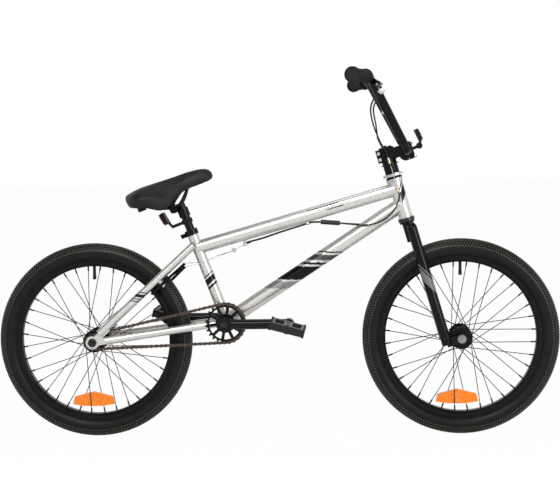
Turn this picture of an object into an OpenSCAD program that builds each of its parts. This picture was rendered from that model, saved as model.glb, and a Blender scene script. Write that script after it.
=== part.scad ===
// Freestyle bicycle with 20-inch wheels, in millimetres.
// X points forward, Y to the rider's left and Z up. The origin is on the ground, midway between the axles.

/* [Wheels] */
// Distance between the two axles
wheelbase = 950; // [930:1:1000]
// Outer diameter of the tyres
tyre_d = 508; // [500:1:516]
// Width of the tyres
tyre_w = 50; // [46:1:51]
// Thickness of the tyre's casing
tyre_wall = 4.7; // [3:0.1:6]
// Height of the tyre above the rim's edge
tyre_rise = 44; // [42:0.5:46]
// Depth of the rim
rim_depth = 16; // [12:0.5:20]
// Width of the rim
rim_w = 28; // [26:0.5:30]
// Diameter of the spokes
spoke_d = 2; // [1.6:0.1:2.4]
// Spokes on each hub flange
spokes_per_flange = 18; // [14:2:18]
// Diameter of the hub flanges
flange_d = 58; // [54:1:64]
// Diameter of the hub shells
hub_d = 34; // [30:1:38]
// Diameter of the wheel axles
axle_d = 10; // [9:0.5:12]
// Width of the front hub between the fork ends
front_hub_w = 100; // [96:1:104]
// Width of the rear hub between the frame ends
rear_hub_w = 110; // [108:1:114]
// Free thread outside each axle nut
axle_free = 8; // [5:1:14]

/* [Frame] */
// Height of the crank axle above the wheel axles
bb_rise = 46; // [36:1:54]
// Seat tube angle from the ground
seat_angle = 69.5; // [68:0.5:72]
// Steering axis angle from the ground
head_angle = 74; // [72:0.5:75]
// Length of the seat tube
seat_tube_len = 256; // [246:1:270]
// Length of the head tube
head_tube_len = 96; // [92:1:104]
// Diameter of the head tube
head_tube_d = 36; // [35:0.5:38]
// Diameter of the top tube
top_tube_d = 35; // [31:0.5:36]
// Diameter of the down tube
down_tube_d = 38; // [34:0.5:40]
// Diameter of the seat tube
seat_tube_d = 28.6; // [27.5:0.1:30]
// Diameter of the seat stays
seat_stay_d = 19; // [17:0.5:20]
// Diameter of the chain stays
chain_stay_d = 20; // [18:0.5:20.5]
// Wall of the frame tubes
tube_wall = 1.8; // [1.2:0.1:2.2]
// Thickness of the wheel-end plates of the frame and the fork
dropout_t = 5; // [4:0.5:6]

/* [Fork and bars] */
// Front axle to the lower end of the head tube, along the steering axis
fork_len = 335; // [330:1:350]
// Front axle ahead of the steering axis
fork_offset = 47; // [40:1:48]
// Diameter of the fork legs
fork_leg_d = 26; // [24:0.5:28]
// Diameter of the steerer tube
steerer_d = 28.6; // [27:0.1:29.5]
// Reach of the stem from the steering axis to the bar
stem_reach = 51; // [48:1:56]
// Diameter of the handlebar tube
bar_d = 22.2; // [21:0.1:23]
// Overall width of the handlebar
bar_w = 710; // [680:5:730]
// Height of the grips above the bar clamp
bar_rise = 182; // [170:1:215]
// Length of the grips
grip_len = 132; // [120:1:138]
// Diameter of the grips
grip_d = 32; // [30:0.5:36]
// Diameter of the flange at the grips' outer ends
grip_flange_d = 38; // [36:0.5:42]

/* [Drive] */
// Teeth on the chainring
ring_teeth = 25; // [24:1:26]
// Teeth on the rear cog
cog_teeth = 9; // [9:1:9]
// Links in the chain
chain_links = 72; // [72:2:74]
// Chain line outboard of the middle of the bike
chain_line = 46.5; // [46:0.1:47.5]
// Length of the crank arms
crank_len = 165; // [155:1:175]
// Depth of the crank arms
crank_arm_d = 26; // [22:0.5:28]
// Diameter of the crank spindle
spindle_d = 19; // [17:0.5:22]
// Length of the pedals, fore and aft
pedal_len = 90; // [80:1:100]
// Width of the pedals
pedal_w = 98; // [90:1:105]
// Thickness of the pedals
pedal_t = 17; // [15:0.5:24]
// Nose-down tilt of the pedals at rest
pedal_tilt = 15; // [0:1:30]

/* [Saddle] */
// Length of the saddle
saddle_len = 234; // [230:1:255]
// Greatest width of the saddle
saddle_w = 150; // [135:1:165]
// Greatest depth of the saddle's skirt
saddle_deep = 68; // [60:1:72]
// Nose-up tilt of the saddle
saddle_tilt = 20; // [16:0.5:22]
// Diameter of the seat post
seat_post_d = 22.2; // [21:0.1:23]
// Seat post showing above the seat tube
post_show = 60; // [56:1:75]
// Diameter of the saddle rails
rail_d = 7; // [6:0.5:8]

/* [Hidden] */
$fn = 48;

fit = 0.05;
gap = 0.3;

frame_white = [0.9, 0.9, 0.89];
gloss_black = [0.07, 0.07, 0.07];
matt_black = [0.12, 0.12, 0.12];
rubber_black = [0.1, 0.1, 0.1];
bright_steel = [0.75, 0.75, 0.76];
dark_steel = [0.35, 0.34, 0.33];
reflector_orange = [1, 0.45, 0.05];

function unit(v) = v / norm(v);
function mix(a, b, t) = a + (b - a) * t;

wheel_r = tyre_d / 2;
rear_x = -wheelbase / 2;
front_x = wheelbase / 2;
rear_axle_at = [rear_x, 0, wheel_r];
front_axle_at = [front_x, 0, wheel_r];

// Chain: whole numbers of pitches on each sprocket and on each straight run set the chain stay's length.
pitch = 12.7;
roller_d = 7.75;
ring_r = pitch / (2 * sin(180 / ring_teeth));
cog_r = pitch / (2 * sin(180 / cog_teeth));
cog_wrap = 4;
ring_wrap_odd = (chain_links - cog_wrap) % 2;
ring_wrap = 2 * round((ring_teeth * 96 / 180 - ring_wrap_odd) / 2) + ring_wrap_odd;
run_links = (chain_links - ring_wrap - cog_wrap) / 2;
ring_leave = 180 * ring_wrap / ring_teeth;
cog_leave = 180 * cog_wrap / cog_teeth;
run_climb = ring_r * sin(ring_leave) - cog_r * sin(cog_leave);
run_along = sqrt(pow(run_links * pitch, 2) - pow(run_climb, 2));
stay_len = run_along - ring_r * cos(ring_leave) - cog_r * cos(cog_leave);
stay_rise = asin(bb_rise / stay_len);
bb_at = rear_axle_at + stay_len * [cos(stay_rise), 0, sin(stay_rise)];

// Steering axis: x of its frame points forward, z up along the axis, from the middle of the head tube.
lean = 90 - head_angle;
steer_up = [-sin(lean), 0, cos(lean)];
steer_ahead = [cos(lean), 0, sin(lean)];
head_at = front_axle_at + (fork_len + head_tube_len / 2) * steer_up - fork_offset * steer_ahead;
function steer_point(p) = head_at + p[0] * steer_ahead + [0, p[1], 0] + p[2] * steer_up;

// Seat tube axis: z of its frame runs up the tube from the bottom bracket.
seat_lean = 90 - seat_angle;
seat_up = [-sin(seat_lean), 0, cos(seat_lean)];

// Heights along the steering axis, from the middle of the head tube
half_head = head_tube_len / 2;
cup_h = 9;
cup_top = half_head + cup_h;
crown_race_z = -half_head - cup_h;
leg_top_z = crown_race_z - 6;
steerer_low_z = -half_head - 63;
axle_z = -half_head - fork_len;
gyro_low_z = cup_top + 7;
gyro_plate_t = 3;
gyro_high_z = gyro_low_z + gyro_plate_t + gap;
tab_plate_z = half_head + 46;
tab_plate_t = 2.5;
stem_low_z = half_head + 56;
stem_h = 34;
stem_mid_z = stem_low_z + stem_h / 2;
stem_top_z = stem_low_z + stem_h;
bar_clamp_z = stem_mid_z - 5.6;
spacer_d = 37;
gyro_travel = 4.5;
tab_y = 29;
cable_d = 5;
wire_d = 1.6;

// Handlebar: corners of its right half, from the clamp to the grip's end
bar_clamp_at = steer_point([stem_reach, 0, bar_clamp_z]);
bar_half = bar_w / 2;
bar_grip_run = 167;
bar_route = [
    bar_clamp_at,
    bar_clamp_at + [0, -66, 0],
    bar_clamp_at + [-93, bar_grip_run - bar_half, bar_rise + 1],
    bar_clamp_at + [-135, -bar_half, bar_rise]
];
grip_dir = unit(bar_route[3] - bar_route[2]);
grip_end = bar_route[3] + 3 * grip_dir;
grip_start = grip_end - grip_dir * grip_len;

function flip(p) = [p[0], -p[1], p[2]];

module aim(p, q) {
    d = q - p;
    translate(p) rotate([0, acos(d[2] / norm(d)), atan2(d[1], d[0])]) children();
}

module rod(p, q, d) {
    aim(p, q) cylinder(d = d, h = norm(q - p));
}

module longer_rod(p, q, d, extra) {
    u = unit(q - p);
    rod(p - u * extra, q + u * extra, d);
}

module pipe(p, q, d, wall) {
    difference() {
        rod(p, q, d);
        longer_rod(p, q, d - 2 * wall, 1);
    }
}

module both_sides() {
    children();
    mirror([0, 1, 0]) children();
}

module steer_frame() {
    translate(head_at) rotate([0, -lean, 0]) children();
}

module seat_frame() {
    translate(bb_at) rotate([0, -seat_lean, 0]) children();
}

// Wheel frame: x forward, y up and z towards the drive side
module wheel_frame(at) {
    translate(at) rotate([90, 0, 0]) children();
}

module ring(d, bore, h) {
    difference() {
        cylinder(d = d, h = h);
        translate([0, 0, -1]) cylinder(d = bore, h = h + 2);
    }
}

module bar2d(p, q, w) {
    d = q - p;
    translate(p) rotate(atan2(d[1], d[0])) translate([0, -w / 2]) square([norm(d), w]);
}

// One side of a flat strip along points, mitred at its corners
function strip_side(p, w, side) = [for (i = [0 : len(p) - 1])
    let (back = unit(p[max(i, 1)] - p[max(i, 1) - 1]))
    let (on = unit(p[min(i, len(p) - 2) + 1] - p[min(i, len(p) - 2)]))
    let (along = unit(back + on))
    p[i] + side * [-along[1], along[0]] * w / 2 / (along * on)];

module path2d(points, w) {
    right = strip_side(points, w, -1);
    polygon(concat(strip_side(points, w, 1), [for (i = [len(right) - 1 : -1 : 0]) right[i]]));
}

// Smooth curve through hand-chosen points
function curve_at(p, i, t) =
    let (n = len(p) - 1)
    let (a = i > 0 ? p[i - 1] : 2 * p[0] - p[1])
    let (b = p[i])
    let (c = p[i + 1])
    let (d = i + 2 <= n ? p[i + 2] : 2 * p[n] - p[n - 1])
    0.5 * (2 * b + (c - a) * t + (2 * a - 5 * b + 4 * c - d) * t * t + (3 * b - a - 3 * c + d) * t * t * t);

function curve(p, steps) = concat(
    [for (i = [0 : len(p) - 2]) for (s = [0 : steps - 1]) curve_at(p, i, s / steps)],
    [p[len(p) - 1]]
);

function tangent(c, i) = unit(c[min(i + 1, len(c) - 1)] - c[max(i - 1, 0)]);

// Side vectors carried along the curve without twist
function side_start(t) = unit(cross(t, abs(t[1]) < 0.9 ? [0, 1, 0] : [0, 0, 1]));
function carry(c, i, side) =
    i >= len(c) ? [] :
    let (t = tangent(c, i))
    let (s = unit(side - (side * t) * t))
    concat([s], carry(c, i + 1, s));

function ring_points(c, sides, r, n) =
    [for (i = [0 : len(c) - 1]) for (k = [0 : n - 1])
        let (t = tangent(c, i))
        let (u = sides[i])
        let (v = cross(t, u))
        c[i] + r * (cos(360 * k / n) * u + sin(360 * k / n) * v)];

module sweep(c, d, n) {
    sides = carry(c, 0, side_start(tangent(c, 0)));
    m = len(c);
    points = ring_points(c, sides, d / 2, n);
    walls = [for (i = [0 : m - 2]) for (k = [0 : n - 1]) for (half = [0, 1])
        let (a = i * n + k)
        let (b = i * n + (k + 1) % n)
        half == 0 ? [a, b + n, b] : [a, a + n, b + n]];
    first = [for (k = [1 : n - 2]) [0, k, k + 1]];
    last = [for (k = [1 : n - 2]) [(m - 1) * n, (m - 1) * n + k + 1, (m - 1) * n + k]];
    polyhedron(points = points, faces = concat(walls, first, last));
}

module cable(points, d, steps) {
    sweep(curve(points, steps), d, d < 4 ? 8 : 10);
}

// Frame tubes, each coped around the tubes that it is welded to
bb_shell_d = 48;
bb_shell_w = 73;
bb_bearing_d = 41;
bearing_w = 9;
top_tube_seat = bb_at + (seat_tube_len - 50) * seat_up;
top_tube_head = head_at + (half_head - 19) * steer_up;
down_tube_head = head_at + (35.5 - half_head) * steer_up;
sleeve_len = 120;
head_bore = steerer_d + 1.4;

module seat_tube_outer() {
    seat_frame() cylinder(d = seat_tube_d, h = seat_tube_len);
}

module head_tube_outer() {
    steer_frame() translate([0, 0, -half_head]) cylinder(d = head_tube_d, h = head_tube_len);
}

module bb_shell_outer() {
    translate(bb_at) rotate([90, 0, 0]) cylinder(d = bb_shell_d, h = bb_shell_w, center = true);
}

cable_ear_t = 4;
cable_ear_w = 12;
cable_ear_z = half_head - 12;

module cable_ear() {
    translate([-cable_ear_w / 2, head_tube_d / 2 - 2, cable_ear_z])
        cube([cable_ear_w, tab_y + 4 - head_tube_d / 2, cable_ear_t]);
}

module head_tube() {
    color(frame_white) steer_frame() difference() {
        union() {
            translate([0, 0, -half_head]) cylinder(d = head_tube_d, h = head_tube_len);
            both_sides() cable_ear();
        }
        translate([0, 0, -half_head - 1]) cylinder(d = head_bore, h = head_tube_len + 2);
        both_sides() translate([0, tab_y, cable_ear_z - 1]) cylinder(d = wire_d + 1.4, h = cable_ear_t + 2);
    }
}

module top_tube() {
    color(frame_white) difference() {
        pipe(top_tube_seat, top_tube_head, top_tube_d, tube_wall);
        seat_tube_outer();
        head_tube_outer();
    }
}

module down_tube() {
    color(frame_white) difference() {
        pipe(bb_at, down_tube_head, down_tube_d, tube_wall);
        bb_shell_outer();
        head_tube_outer();
        seat_tube_outer();
        rod(top_tube_seat, top_tube_head, top_tube_d);
    }
}

module seat_tube() {
    color(frame_white) difference() {
        seat_tube_outer();
        bb_shell_outer();
        seat_frame() translate([0, 0, seat_tube_len - sleeve_len])
            cylinder(d = seat_post_d + 2 * fit, h = sleeve_len + 1);
        seat_frame() cylinder(d = seat_tube_d - 2 * tube_wall, h = seat_tube_len - sleeve_len + 0.01);
    }
}

module bottom_bracket_shell() {
    color(frame_white) difference() {
        bb_shell_outer();
        translate(bb_at) rotate([90, 0, 0])
            cylinder(d = bb_bearing_d + 2 * fit, h = bb_shell_w + 2, center = true);
    }
}

// Rear triangle
rear_face = rear_hub_w / 2;
stay_dir = [cos(stay_rise), 0, sin(stay_rise)];
stay_y = rear_face + dropout_t / 2 + 0.5;
chain_stay_rear = rear_axle_at + 34 * stay_dir + [0, -stay_y, 0];
chain_stay_front = bb_at + [0, -25, 0];
seat_stay_low = rear_axle_at + [19, -stay_y - 3.5, 24];
seat_stay_top = bb_at + (seat_tube_len - 42) * seat_up + [-6, -20, 0];
stay_flat = seat_stay_top - seat_stay_low;
stay_lift = atan2(stay_flat[2], stay_flat[0]);
plate_eye_d = 34;
plate_arm_w = 17;
plate_arm_len = 56;

module dropout_plate() {
    wheel_frame(rear_axle_at) translate([0, 0, rear_face]) linear_extrude(dropout_t) {
        circle(d = plate_eye_d);
        bar2d([0, 0], plate_arm_len * [cos(stay_rise), sin(stay_rise)], plate_arm_w);
        bar2d([0, 0], plate_arm_len * [cos(stay_lift), sin(stay_lift)], plate_arm_w);
    }
}

module rear_dropouts() {
    color(frame_white) both_sides() difference() {
        dropout_plate();
        wheel_frame(rear_axle_at) cylinder(d = axle_d + 0.4, h = 2 * rear_hub_w, center = true);
    }
}

module chain_stays() {
    color(frame_white) both_sides() difference() {
        pipe(chain_stay_rear, chain_stay_front, chain_stay_d, tube_wall);
        bb_shell_outer();
        dropout_plate();
    }
}

module seat_stays() {
    color(frame_white) both_sides() difference() {
        pipe(seat_stay_low, seat_stay_top, seat_stay_d, tube_wall);
        seat_tube_outer();
        dropout_plate();
        rod(top_tube_seat, top_tube_head, top_tube_d);
    }
}

// Seat clamp: collar with two ears and a cross bolt behind the tube
collar_h = 15;
collar_d = seat_tube_d + 5.5;
clamp_bolt_d = 5;
clamp_slit = 3;
ear_x = -seat_tube_d / 2 - 9;

module seat_clamp() {
    color(gloss_black) seat_frame() translate([0, 0, seat_tube_len - collar_h]) {
        difference() {
            union() {
                cylinder(d = collar_d, h = collar_h);
                translate([ear_x - 6, -9, 0]) cube([14, 18, 11]);
            }
            translate([0, 0, -1]) cylinder(d = seat_tube_d + 2 * fit, h = collar_h + 2);
            translate([ear_x - 7, -clamp_slit / 2, -1]) cube([20, clamp_slit, collar_h + 2]);
            translate([ear_x, 0, 5.5]) rotate([90, 0, 0])
                cylinder(d = clamp_bolt_d + 0.4, h = 40, center = true);
        }
        translate([ear_x, 0, 5.5]) rotate([90, 0, 0]) {
            cylinder(d = clamp_bolt_d, h = 22, center = true);
            translate([0, 0, 9]) cylinder(d = 9, h = 5);
            translate([0, 0, -13]) cylinder(d = 10, h = 4, $fn = 6);
        }
    }
}

// Headset
cup_d = head_tube_d + 7;
cup_floor = 2;
bearing_d = head_tube_d + 2;
race_h = cup_h - cup_floor - 0.4;

module upper_cup() {
    translate([0, 0, half_head]) difference() {
        cylinder(d = cup_d, h = cup_h);
        translate([0, 0, -1]) cylinder(d = head_bore, h = cup_h);
        translate([0, 0, cup_floor]) cylinder(d = bearing_d + 2 * fit, h = cup_h);
    }
}

module headset_cups() {
    color(gloss_black) steer_frame() {
        upper_cup();
        mirror([0, 0, 1]) upper_cup();
    }
}

module bearings() {
    color(dark_steel) {
        steer_frame() for (turn = [0, 180]) rotate([turn, 0, 0])
            translate([0, 0, half_head + cup_floor]) ring(bearing_d, steerer_d + 2 * fit, race_h);
        translate(bb_at) both_sides() rotate([90, 0, 0])
            translate([0, 0, bb_shell_w / 2 - bearing_w]) ring(bb_bearing_d, spindle_d + 2 * fit, bearing_w);
    }
}

// Axles: a threaded rod with fixed lock nuts inside the plates and a nut outside each plate
nut_h = 9;
nut_d = 19.6;
washer_d = 22;
washer_t = 2;
lock_nut_d = 17;
right_thread_d = axle_d - 1;
left_thread_d = axle_d - 0.5;
thread_start = 0.5;

module axle_nut(z) {
    difference() {
        translate([0, 0, z]) {
            cylinder(d = washer_d, h = washer_t);
            translate([0, 0, washer_t]) cylinder(d = nut_d, h = nut_h, $fn = 6);
        }
        cylinder(d = axle_d + 2 * fit, h = 4 * z);
    }
}

module axle_set(hub_w, right_end, left_end) {
    face = hub_w / 2;
    tip = face + dropout_t + washer_t + nut_h + axle_free;
    rod_end = tip - axle_free + thread_start;
    translate([0, 0, -tip]) cylinder(d = left_thread_d, h = tip);
    cylinder(d = right_thread_d, h = tip);
    translate([0, 0, -rod_end]) cylinder(d = axle_d, h = 2 * rod_end);
    translate([0, 0, right_end]) cylinder(d = lock_nut_d, h = face - right_end);
    translate([0, 0, -face]) cylinder(d = lock_nut_d, h = face - left_end);
    axle_nut(face + dropout_t);
    mirror([0, 0, 1]) axle_nut(face + dropout_t);
}

front_hub_end = front_hub_w / 2 - 6;
rear_hub_left_end = rear_hub_w / 2 - 7;
driver_end = rear_hub_w / 2 - 4;
driver_start = 37;

module rear_axle() {
    color(dark_steel) wheel_frame(rear_axle_at)
        axle_set(rear_hub_w, driver_end + gap, rear_hub_left_end + gap);
}

module front_axle() {
    color(bright_steel) wheel_frame(front_axle_at)
        axle_set(front_hub_w, front_hub_end + gap, front_hub_end + gap);
}

// Wheels, in the wheel frame
section_r = tyre_w / 2;
section_at = wheel_r - section_r;
rim_edge = wheel_r - tyre_rise;
rim_in = rim_edge - rim_depth;
bead_seat = rim_edge - 6.5;
rim_wall = 2;
bead_t = 4.3;
bead_out = rim_w / 2 - rim_wall - 0.2;
bead_in = bead_out - bead_t;
tyre_low = rim_edge + gap;
tube_section_r = min(section_r - tyre_wall - 0.5, norm([section_at - tyre_low, bead_in]) - gap);

module tyre() {
    color(rubber_black) rotate_extrude($fn = 120) {
        difference() {
            union() {
                difference() {
                    translate([section_at, 0]) circle(r = section_r);
                    translate([0, -section_r - 1]) square([tyre_low, 2 * section_r + 2]);
                }
                for (y = [-bead_out, bead_in]) translate([bead_seat + gap, y])
                    square([tyre_low - bead_seat + 1, bead_t]);
            }
            translate([section_at, 0]) circle(r = section_r - tyre_wall);
        }
    }
}

valve_d = 8;
valve_len = 32;
valve_hole = valve_d + 0.6;

module inner_tube() {
    color(rubber_black) difference() {
        union() {
            rotate_extrude($fn = 120) translate([section_at, 0]) circle(r = tube_section_r);
            translate([0, rim_in - valve_len, 0]) rotate([-90, 0, 0])
                cylinder(d = valve_d, h = section_at - rim_in + valve_len);
        }
        rotate_extrude($fn = 120) translate([section_at, 0]) circle(r = tube_section_r - 1.2);
    }
}

module rim() {
    half = rim_w / 2;
    color(gloss_black) difference() {
        rotate_extrude($fn = 120) polygon([
            [rim_edge, -half], [rim_in + 6, -half], [rim_in, -half + 5],
            [rim_in, half - 5], [rim_in + 6, half], [rim_edge, half],
            [rim_edge, half - rim_wall], [bead_seat, half - rim_wall],
            [bead_seat - 3, half - rim_wall - 6], [bead_seat - 3, -half + rim_wall + 6],
            [bead_seat, -half + rim_wall], [rim_edge, -half + rim_wall]
        ]);
        translate([0, rim_in - 1, 0]) rotate([-90, 0, 0]) cylinder(d = valve_hole, h = rim_depth + 1);
    }
}

flange_t = 3;
flange_hole_r = flange_d / 2 - 5;
spoke_lift = flange_t / 2 + spoke_d / 2 + 0.2;
nipple_d = 4;
nipple_len = 12;
rim_hole_y = 3.5;

function polar(r, a, z) = [r * cos(a), r * sin(a), z];

module spokes(flange_y) {
    step = 360 / spokes_per_flange;
    color(gloss_black) for (side = [-1, 1]) for (i = [0 : spokes_per_flange - 1]) {
        lean_way = i % 2 == 0 ? 1 : -1;
        start_a = step * i + step / 4 + (side > 0 ? 0 : step / 2);
        hub_end = polar(flange_hole_r, start_a, side * (flange_y + lean_way * spoke_lift));
        rim_end = polar(rim_in - 0.6, start_a + lean_way * 3 * step, side * rim_hole_y);
        rod(hub_end, rim_end, spoke_d);
        rod(rim_end - nipple_len * unit(rim_end - hub_end), rim_end, nipple_d);
    }
}

hub_bearing_d = 26;
hub_bearing_w = 8;

module hub(flange_y, right_end, left_end) {
    cap_d = hub_d - 4;
    color(gloss_black) {
        difference() {
            union() {
                translate([0, 0, -flange_y]) cylinder(d = hub_d, h = 2 * flange_y);
                for (z = [-flange_y, flange_y]) translate([0, 0, z])
                    cylinder(d = flange_d, h = flange_t, center = true);
                translate([0, 0, -left_end]) cylinder(d = cap_d, h = left_end + right_end);
            }
            cylinder(d = axle_d + 4, h = 4 * flange_y, center = true);
            translate([0, 0, right_end - hub_bearing_w]) cylinder(d = hub_bearing_d, h = hub_bearing_w + 1);
            translate([0, 0, -left_end - 1]) cylinder(d = hub_bearing_d, h = hub_bearing_w + 1);
        }
        for (z = [right_end - hub_bearing_w, -left_end]) translate([0, 0, z])
            ring(hub_bearing_d - 2 * fit, axle_d + 2 * fit, hub_bearing_w);
    }
}

front_flange_y = 34;
rear_flange_y = 31;
rear_hub_right_end = driver_start - gap;

module front_tyre() { wheel_frame(front_axle_at) tyre(); }
module front_inner_tube() { wheel_frame(front_axle_at) inner_tube(); }
module front_rim() { wheel_frame(front_axle_at) rim(); }
module front_spokes() { wheel_frame(front_axle_at) spokes(front_flange_y); }
module front_hub() { wheel_frame(front_axle_at) hub(front_flange_y, front_hub_end, front_hub_end); }
module front_wheel_reflector() { wheel_frame(front_axle_at) wheel_reflector(); }
module rear_tyre() { wheel_frame(rear_axle_at) tyre(); }
module rear_inner_tube() { wheel_frame(rear_axle_at) inner_tube(); }
module rear_rim() { wheel_frame(rear_axle_at) rim(); }
module rear_spokes() { wheel_frame(rear_axle_at) spokes(rear_flange_y); }
module rear_hub() { wheel_frame(rear_axle_at) hub(rear_flange_y, rear_hub_right_end, rear_hub_left_end); }
module rear_wheel_reflector() { wheel_frame(rear_axle_at) wheel_reflector(); }

// Wheel reflector: a six-sided plate between the two sets of spokes
reflector_low = 175;
reflector_high = 137;
reflector_half = 55;
reflector_shift = -11;
reflector_t = 9;

module wheel_reflector() {
    outline = [
        [-reflector_half, -reflector_low + 5], [-24, -reflector_low], [24, -reflector_low],
        [reflector_half, -reflector_low + 5], [reflector_half - 5, -reflector_high - 13],
        [0, -reflector_high], [-reflector_half + 5, -reflector_high - 13]
    ];
    color(reflector_orange) translate([reflector_shift, 0, -reflector_t / 2])
        linear_extrude(reflector_t) polygon(outline);
}

// Drive train: sprockets and chain, in the rear wheel's frame turned so that x runs along the line of centres
plate_t = 1;
inner_w = 3.4;
sprocket_t = 2.6;
link_eye_d = 8.4;
link_waist = 6;
pin_d = 3.6;
seat_r = roller_d / 2 + 0.15;
cog_flare = 6.8;
ring_flare = 3.4;

module drive_frame() {
    wheel_frame(rear_axle_at) rotate([0, 0, stay_rise]) translate([0, 0, chain_line]) children();
}

module sprocket2d(teeth, r, flare) {
    tip = r + 2.1;
    difference() {
        circle(r = tip);
        for (i = [0 : teeth - 1]) rotate(360 * i / teeth) translate([r, 0]) {
            circle(r = seat_r, $fn = 24);
            polygon([[0, -seat_r], [6, -seat_r - flare], [6, seat_r + flare], [0, seat_r]]);
        }
    }
}

ring_in_r = ring_r - 9;
ring_hub_r = 25;
ring_spokes = 10;
ring_spoke_w = 8;
crank_face = 60;

module chainring() {
    color(gloss_black) drive_frame() translate([stay_len, 0, 0]) difference() {
        union() {
            translate([0, 0, -sprocket_t / 2]) linear_extrude(sprocket_t) difference() {
                sprocket2d(ring_teeth, ring_r, ring_flare);
                difference() {
                    circle(r = ring_in_r);
                    circle(r = ring_hub_r);
                    for (i = [0 : ring_spokes - 1]) rotate(360 * i / ring_spokes)
                        translate([0, -ring_spoke_w / 2]) square([ring_r, ring_spoke_w]);
                }
            }
            translate([0, 0, -sprocket_t / 2]) cylinder(d = 40, h = crank_face - chain_line + sprocket_t / 2);
        }
        translate([0, 0, -10]) cylinder(d = spindle_d + 2 * fit, h = 40);
    }
}

module rear_cog() {
    color(dark_steel) drive_frame() difference() {
        union() {
            translate([0, 0, -sprocket_t / 2]) linear_extrude(sprocket_t) rotate(180)
                sprocket2d(cog_teeth, cog_r, cog_flare);
            translate([0, 0, driver_start - chain_line]) cylinder(d = 27, h = driver_end - driver_start);
        }
        translate([0, 0, -30]) cylinder(d = axle_d + 2 * fit, h = 60);
    }
}

function ring_pin(j) = let (a = ring_leave - 360 * j / ring_teeth)
    [stay_len + ring_r * cos(a), ring_r * sin(a)];
function cog_pin(j) = let (a = -cog_leave + 360 * j / cog_teeth) [-cog_r * cos(a), cog_r * sin(a)];
function run(a, b) = [for (j = [1 : run_links - 1]) mix(a, b, j / run_links)];
chain_pins = concat(
    [for (j = [0 : ring_wrap]) ring_pin(j)],
    run(ring_pin(ring_wrap), cog_pin(0)),
    [for (j = [0 : cog_wrap]) cog_pin(j)],
    run(cog_pin(cog_wrap), ring_pin(0))
);

module link_plate(z) {
    translate([0, 0, z]) linear_extrude(plate_t) {
        circle(d = link_eye_d, $fn = 24);
        translate([pitch, 0]) circle(d = link_eye_d, $fn = 24);
        translate([0, -link_waist / 2]) square([pitch, link_waist]);
    }
}

module inner_link() {
    difference() {
        union() {
            link_plate(inner_w / 2);
            link_plate(-inner_w / 2 - plate_t);
            for (x = [0, pitch]) translate([x, 0, -inner_w / 2])
                cylinder(d = roller_d, h = inner_w, $fn = 24);
        }
        for (x = [0, pitch]) translate([x, 0, -10]) cylinder(d = pin_d + 2 * fit, h = 20, $fn = 24);
    }
}

module outer_link() {
    z = inner_w / 2 + plate_t + 0.2;
    link_plate(z);
    link_plate(-z - plate_t);
    for (x = [0, pitch]) translate([x, 0, -z - plate_t - 0.4])
        cylinder(d = pin_d, h = 2 * (z + plate_t + 0.4), $fn = 24);
}

module chain() {
    n = len(chain_pins);
    color(dark_steel) drive_frame() for (i = [0 : n - 1]) {
        a = chain_pins[i];
        b = chain_pins[(i + 1) % n];
        translate([a[0], a[1], 0]) rotate(atan2(b[1] - a[1], b[0] - a[0]))
            if (i % 2 == 0) outer_link(); else inner_link();
    }
}

// Cranks and pedals
crank_w = 24;
crank_out = crank_face + crank_w;
crank_boss_d = 38;
pedal_boss_d = 29;
pedal_thread_d = 14;
pedal_axle_d = 12;
pedal_in = crank_out + 6;
right_pedal_at = bb_at + [crank_len, 0, 0];
left_pedal_at = bb_at - [crank_len, 0, 0];

module crank_arm() {
    translate([0, 0, crank_face]) difference() {
        union() {
            cylinder(d = crank_boss_d, h = crank_w);
            translate([crank_len, 0, 0]) cylinder(d = pedal_boss_d, h = crank_w);
            translate([0, 0, crank_w / 2]) rotate([0, 90, 0]) cylinder(d = crank_arm_d, h = crank_len);
        }
        translate([0, 0, -20]) cylinder(d = spindle_d + 2 * fit, h = crank_w + 40);
        translate([crank_len, 0, -20]) cylinder(d = pedal_thread_d + 2 * fit, h = crank_w + 40);
        translate([0, 0, -20]) cylinder(d = 2 * crank_len + 2 * pedal_boss_d, h = 20);
        translate([0, 0, crank_w]) cylinder(d = 2 * crank_len + 2 * pedal_boss_d, h = 20);
    }
}

module crank_arms() {
    color(gloss_black) wheel_frame(bb_at) {
        crank_arm();
        rotate([0, 180, 0]) crank_arm();
    }
}

module pedal_axle() {
    translate([crank_len, 0, crank_face + 2]) cylinder(d = pedal_thread_d, h = crank_w - 2);
    translate([crank_len, 0, crank_out]) cylinder(d = pedal_thread_d + 4, h = pedal_in - crank_out - gap);
    translate([crank_len, 0, crank_out]) cylinder(d = pedal_axle_d, h = pedal_in - crank_out + pedal_w - 6);
}

spindle_collar_d = spindle_d + 6;
crank_bolt_d = 15;

module spindle_half() {
    cylinder(d = spindle_d, h = crank_out - 2);
    translate([0, 0, bb_shell_w / 2 + gap])
        cylinder(d = spindle_collar_d, h = chain_line - sprocket_t / 2 - bb_shell_w / 2 - gap);
    translate([0, 0, crank_out - 2]) cylinder(d = crank_bolt_d, h = 5, $fn = 6);
    pedal_axle();
}

module crank_spindle() {
    color(dark_steel) wheel_frame(bb_at) {
        spindle_half();
        rotate([0, 180, 0]) spindle_half();
    }
}

pedal_tube_d = 22;
pedal_rail = 11;
pedal_tooth = 3;
pedal_teeth = 7;

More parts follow.
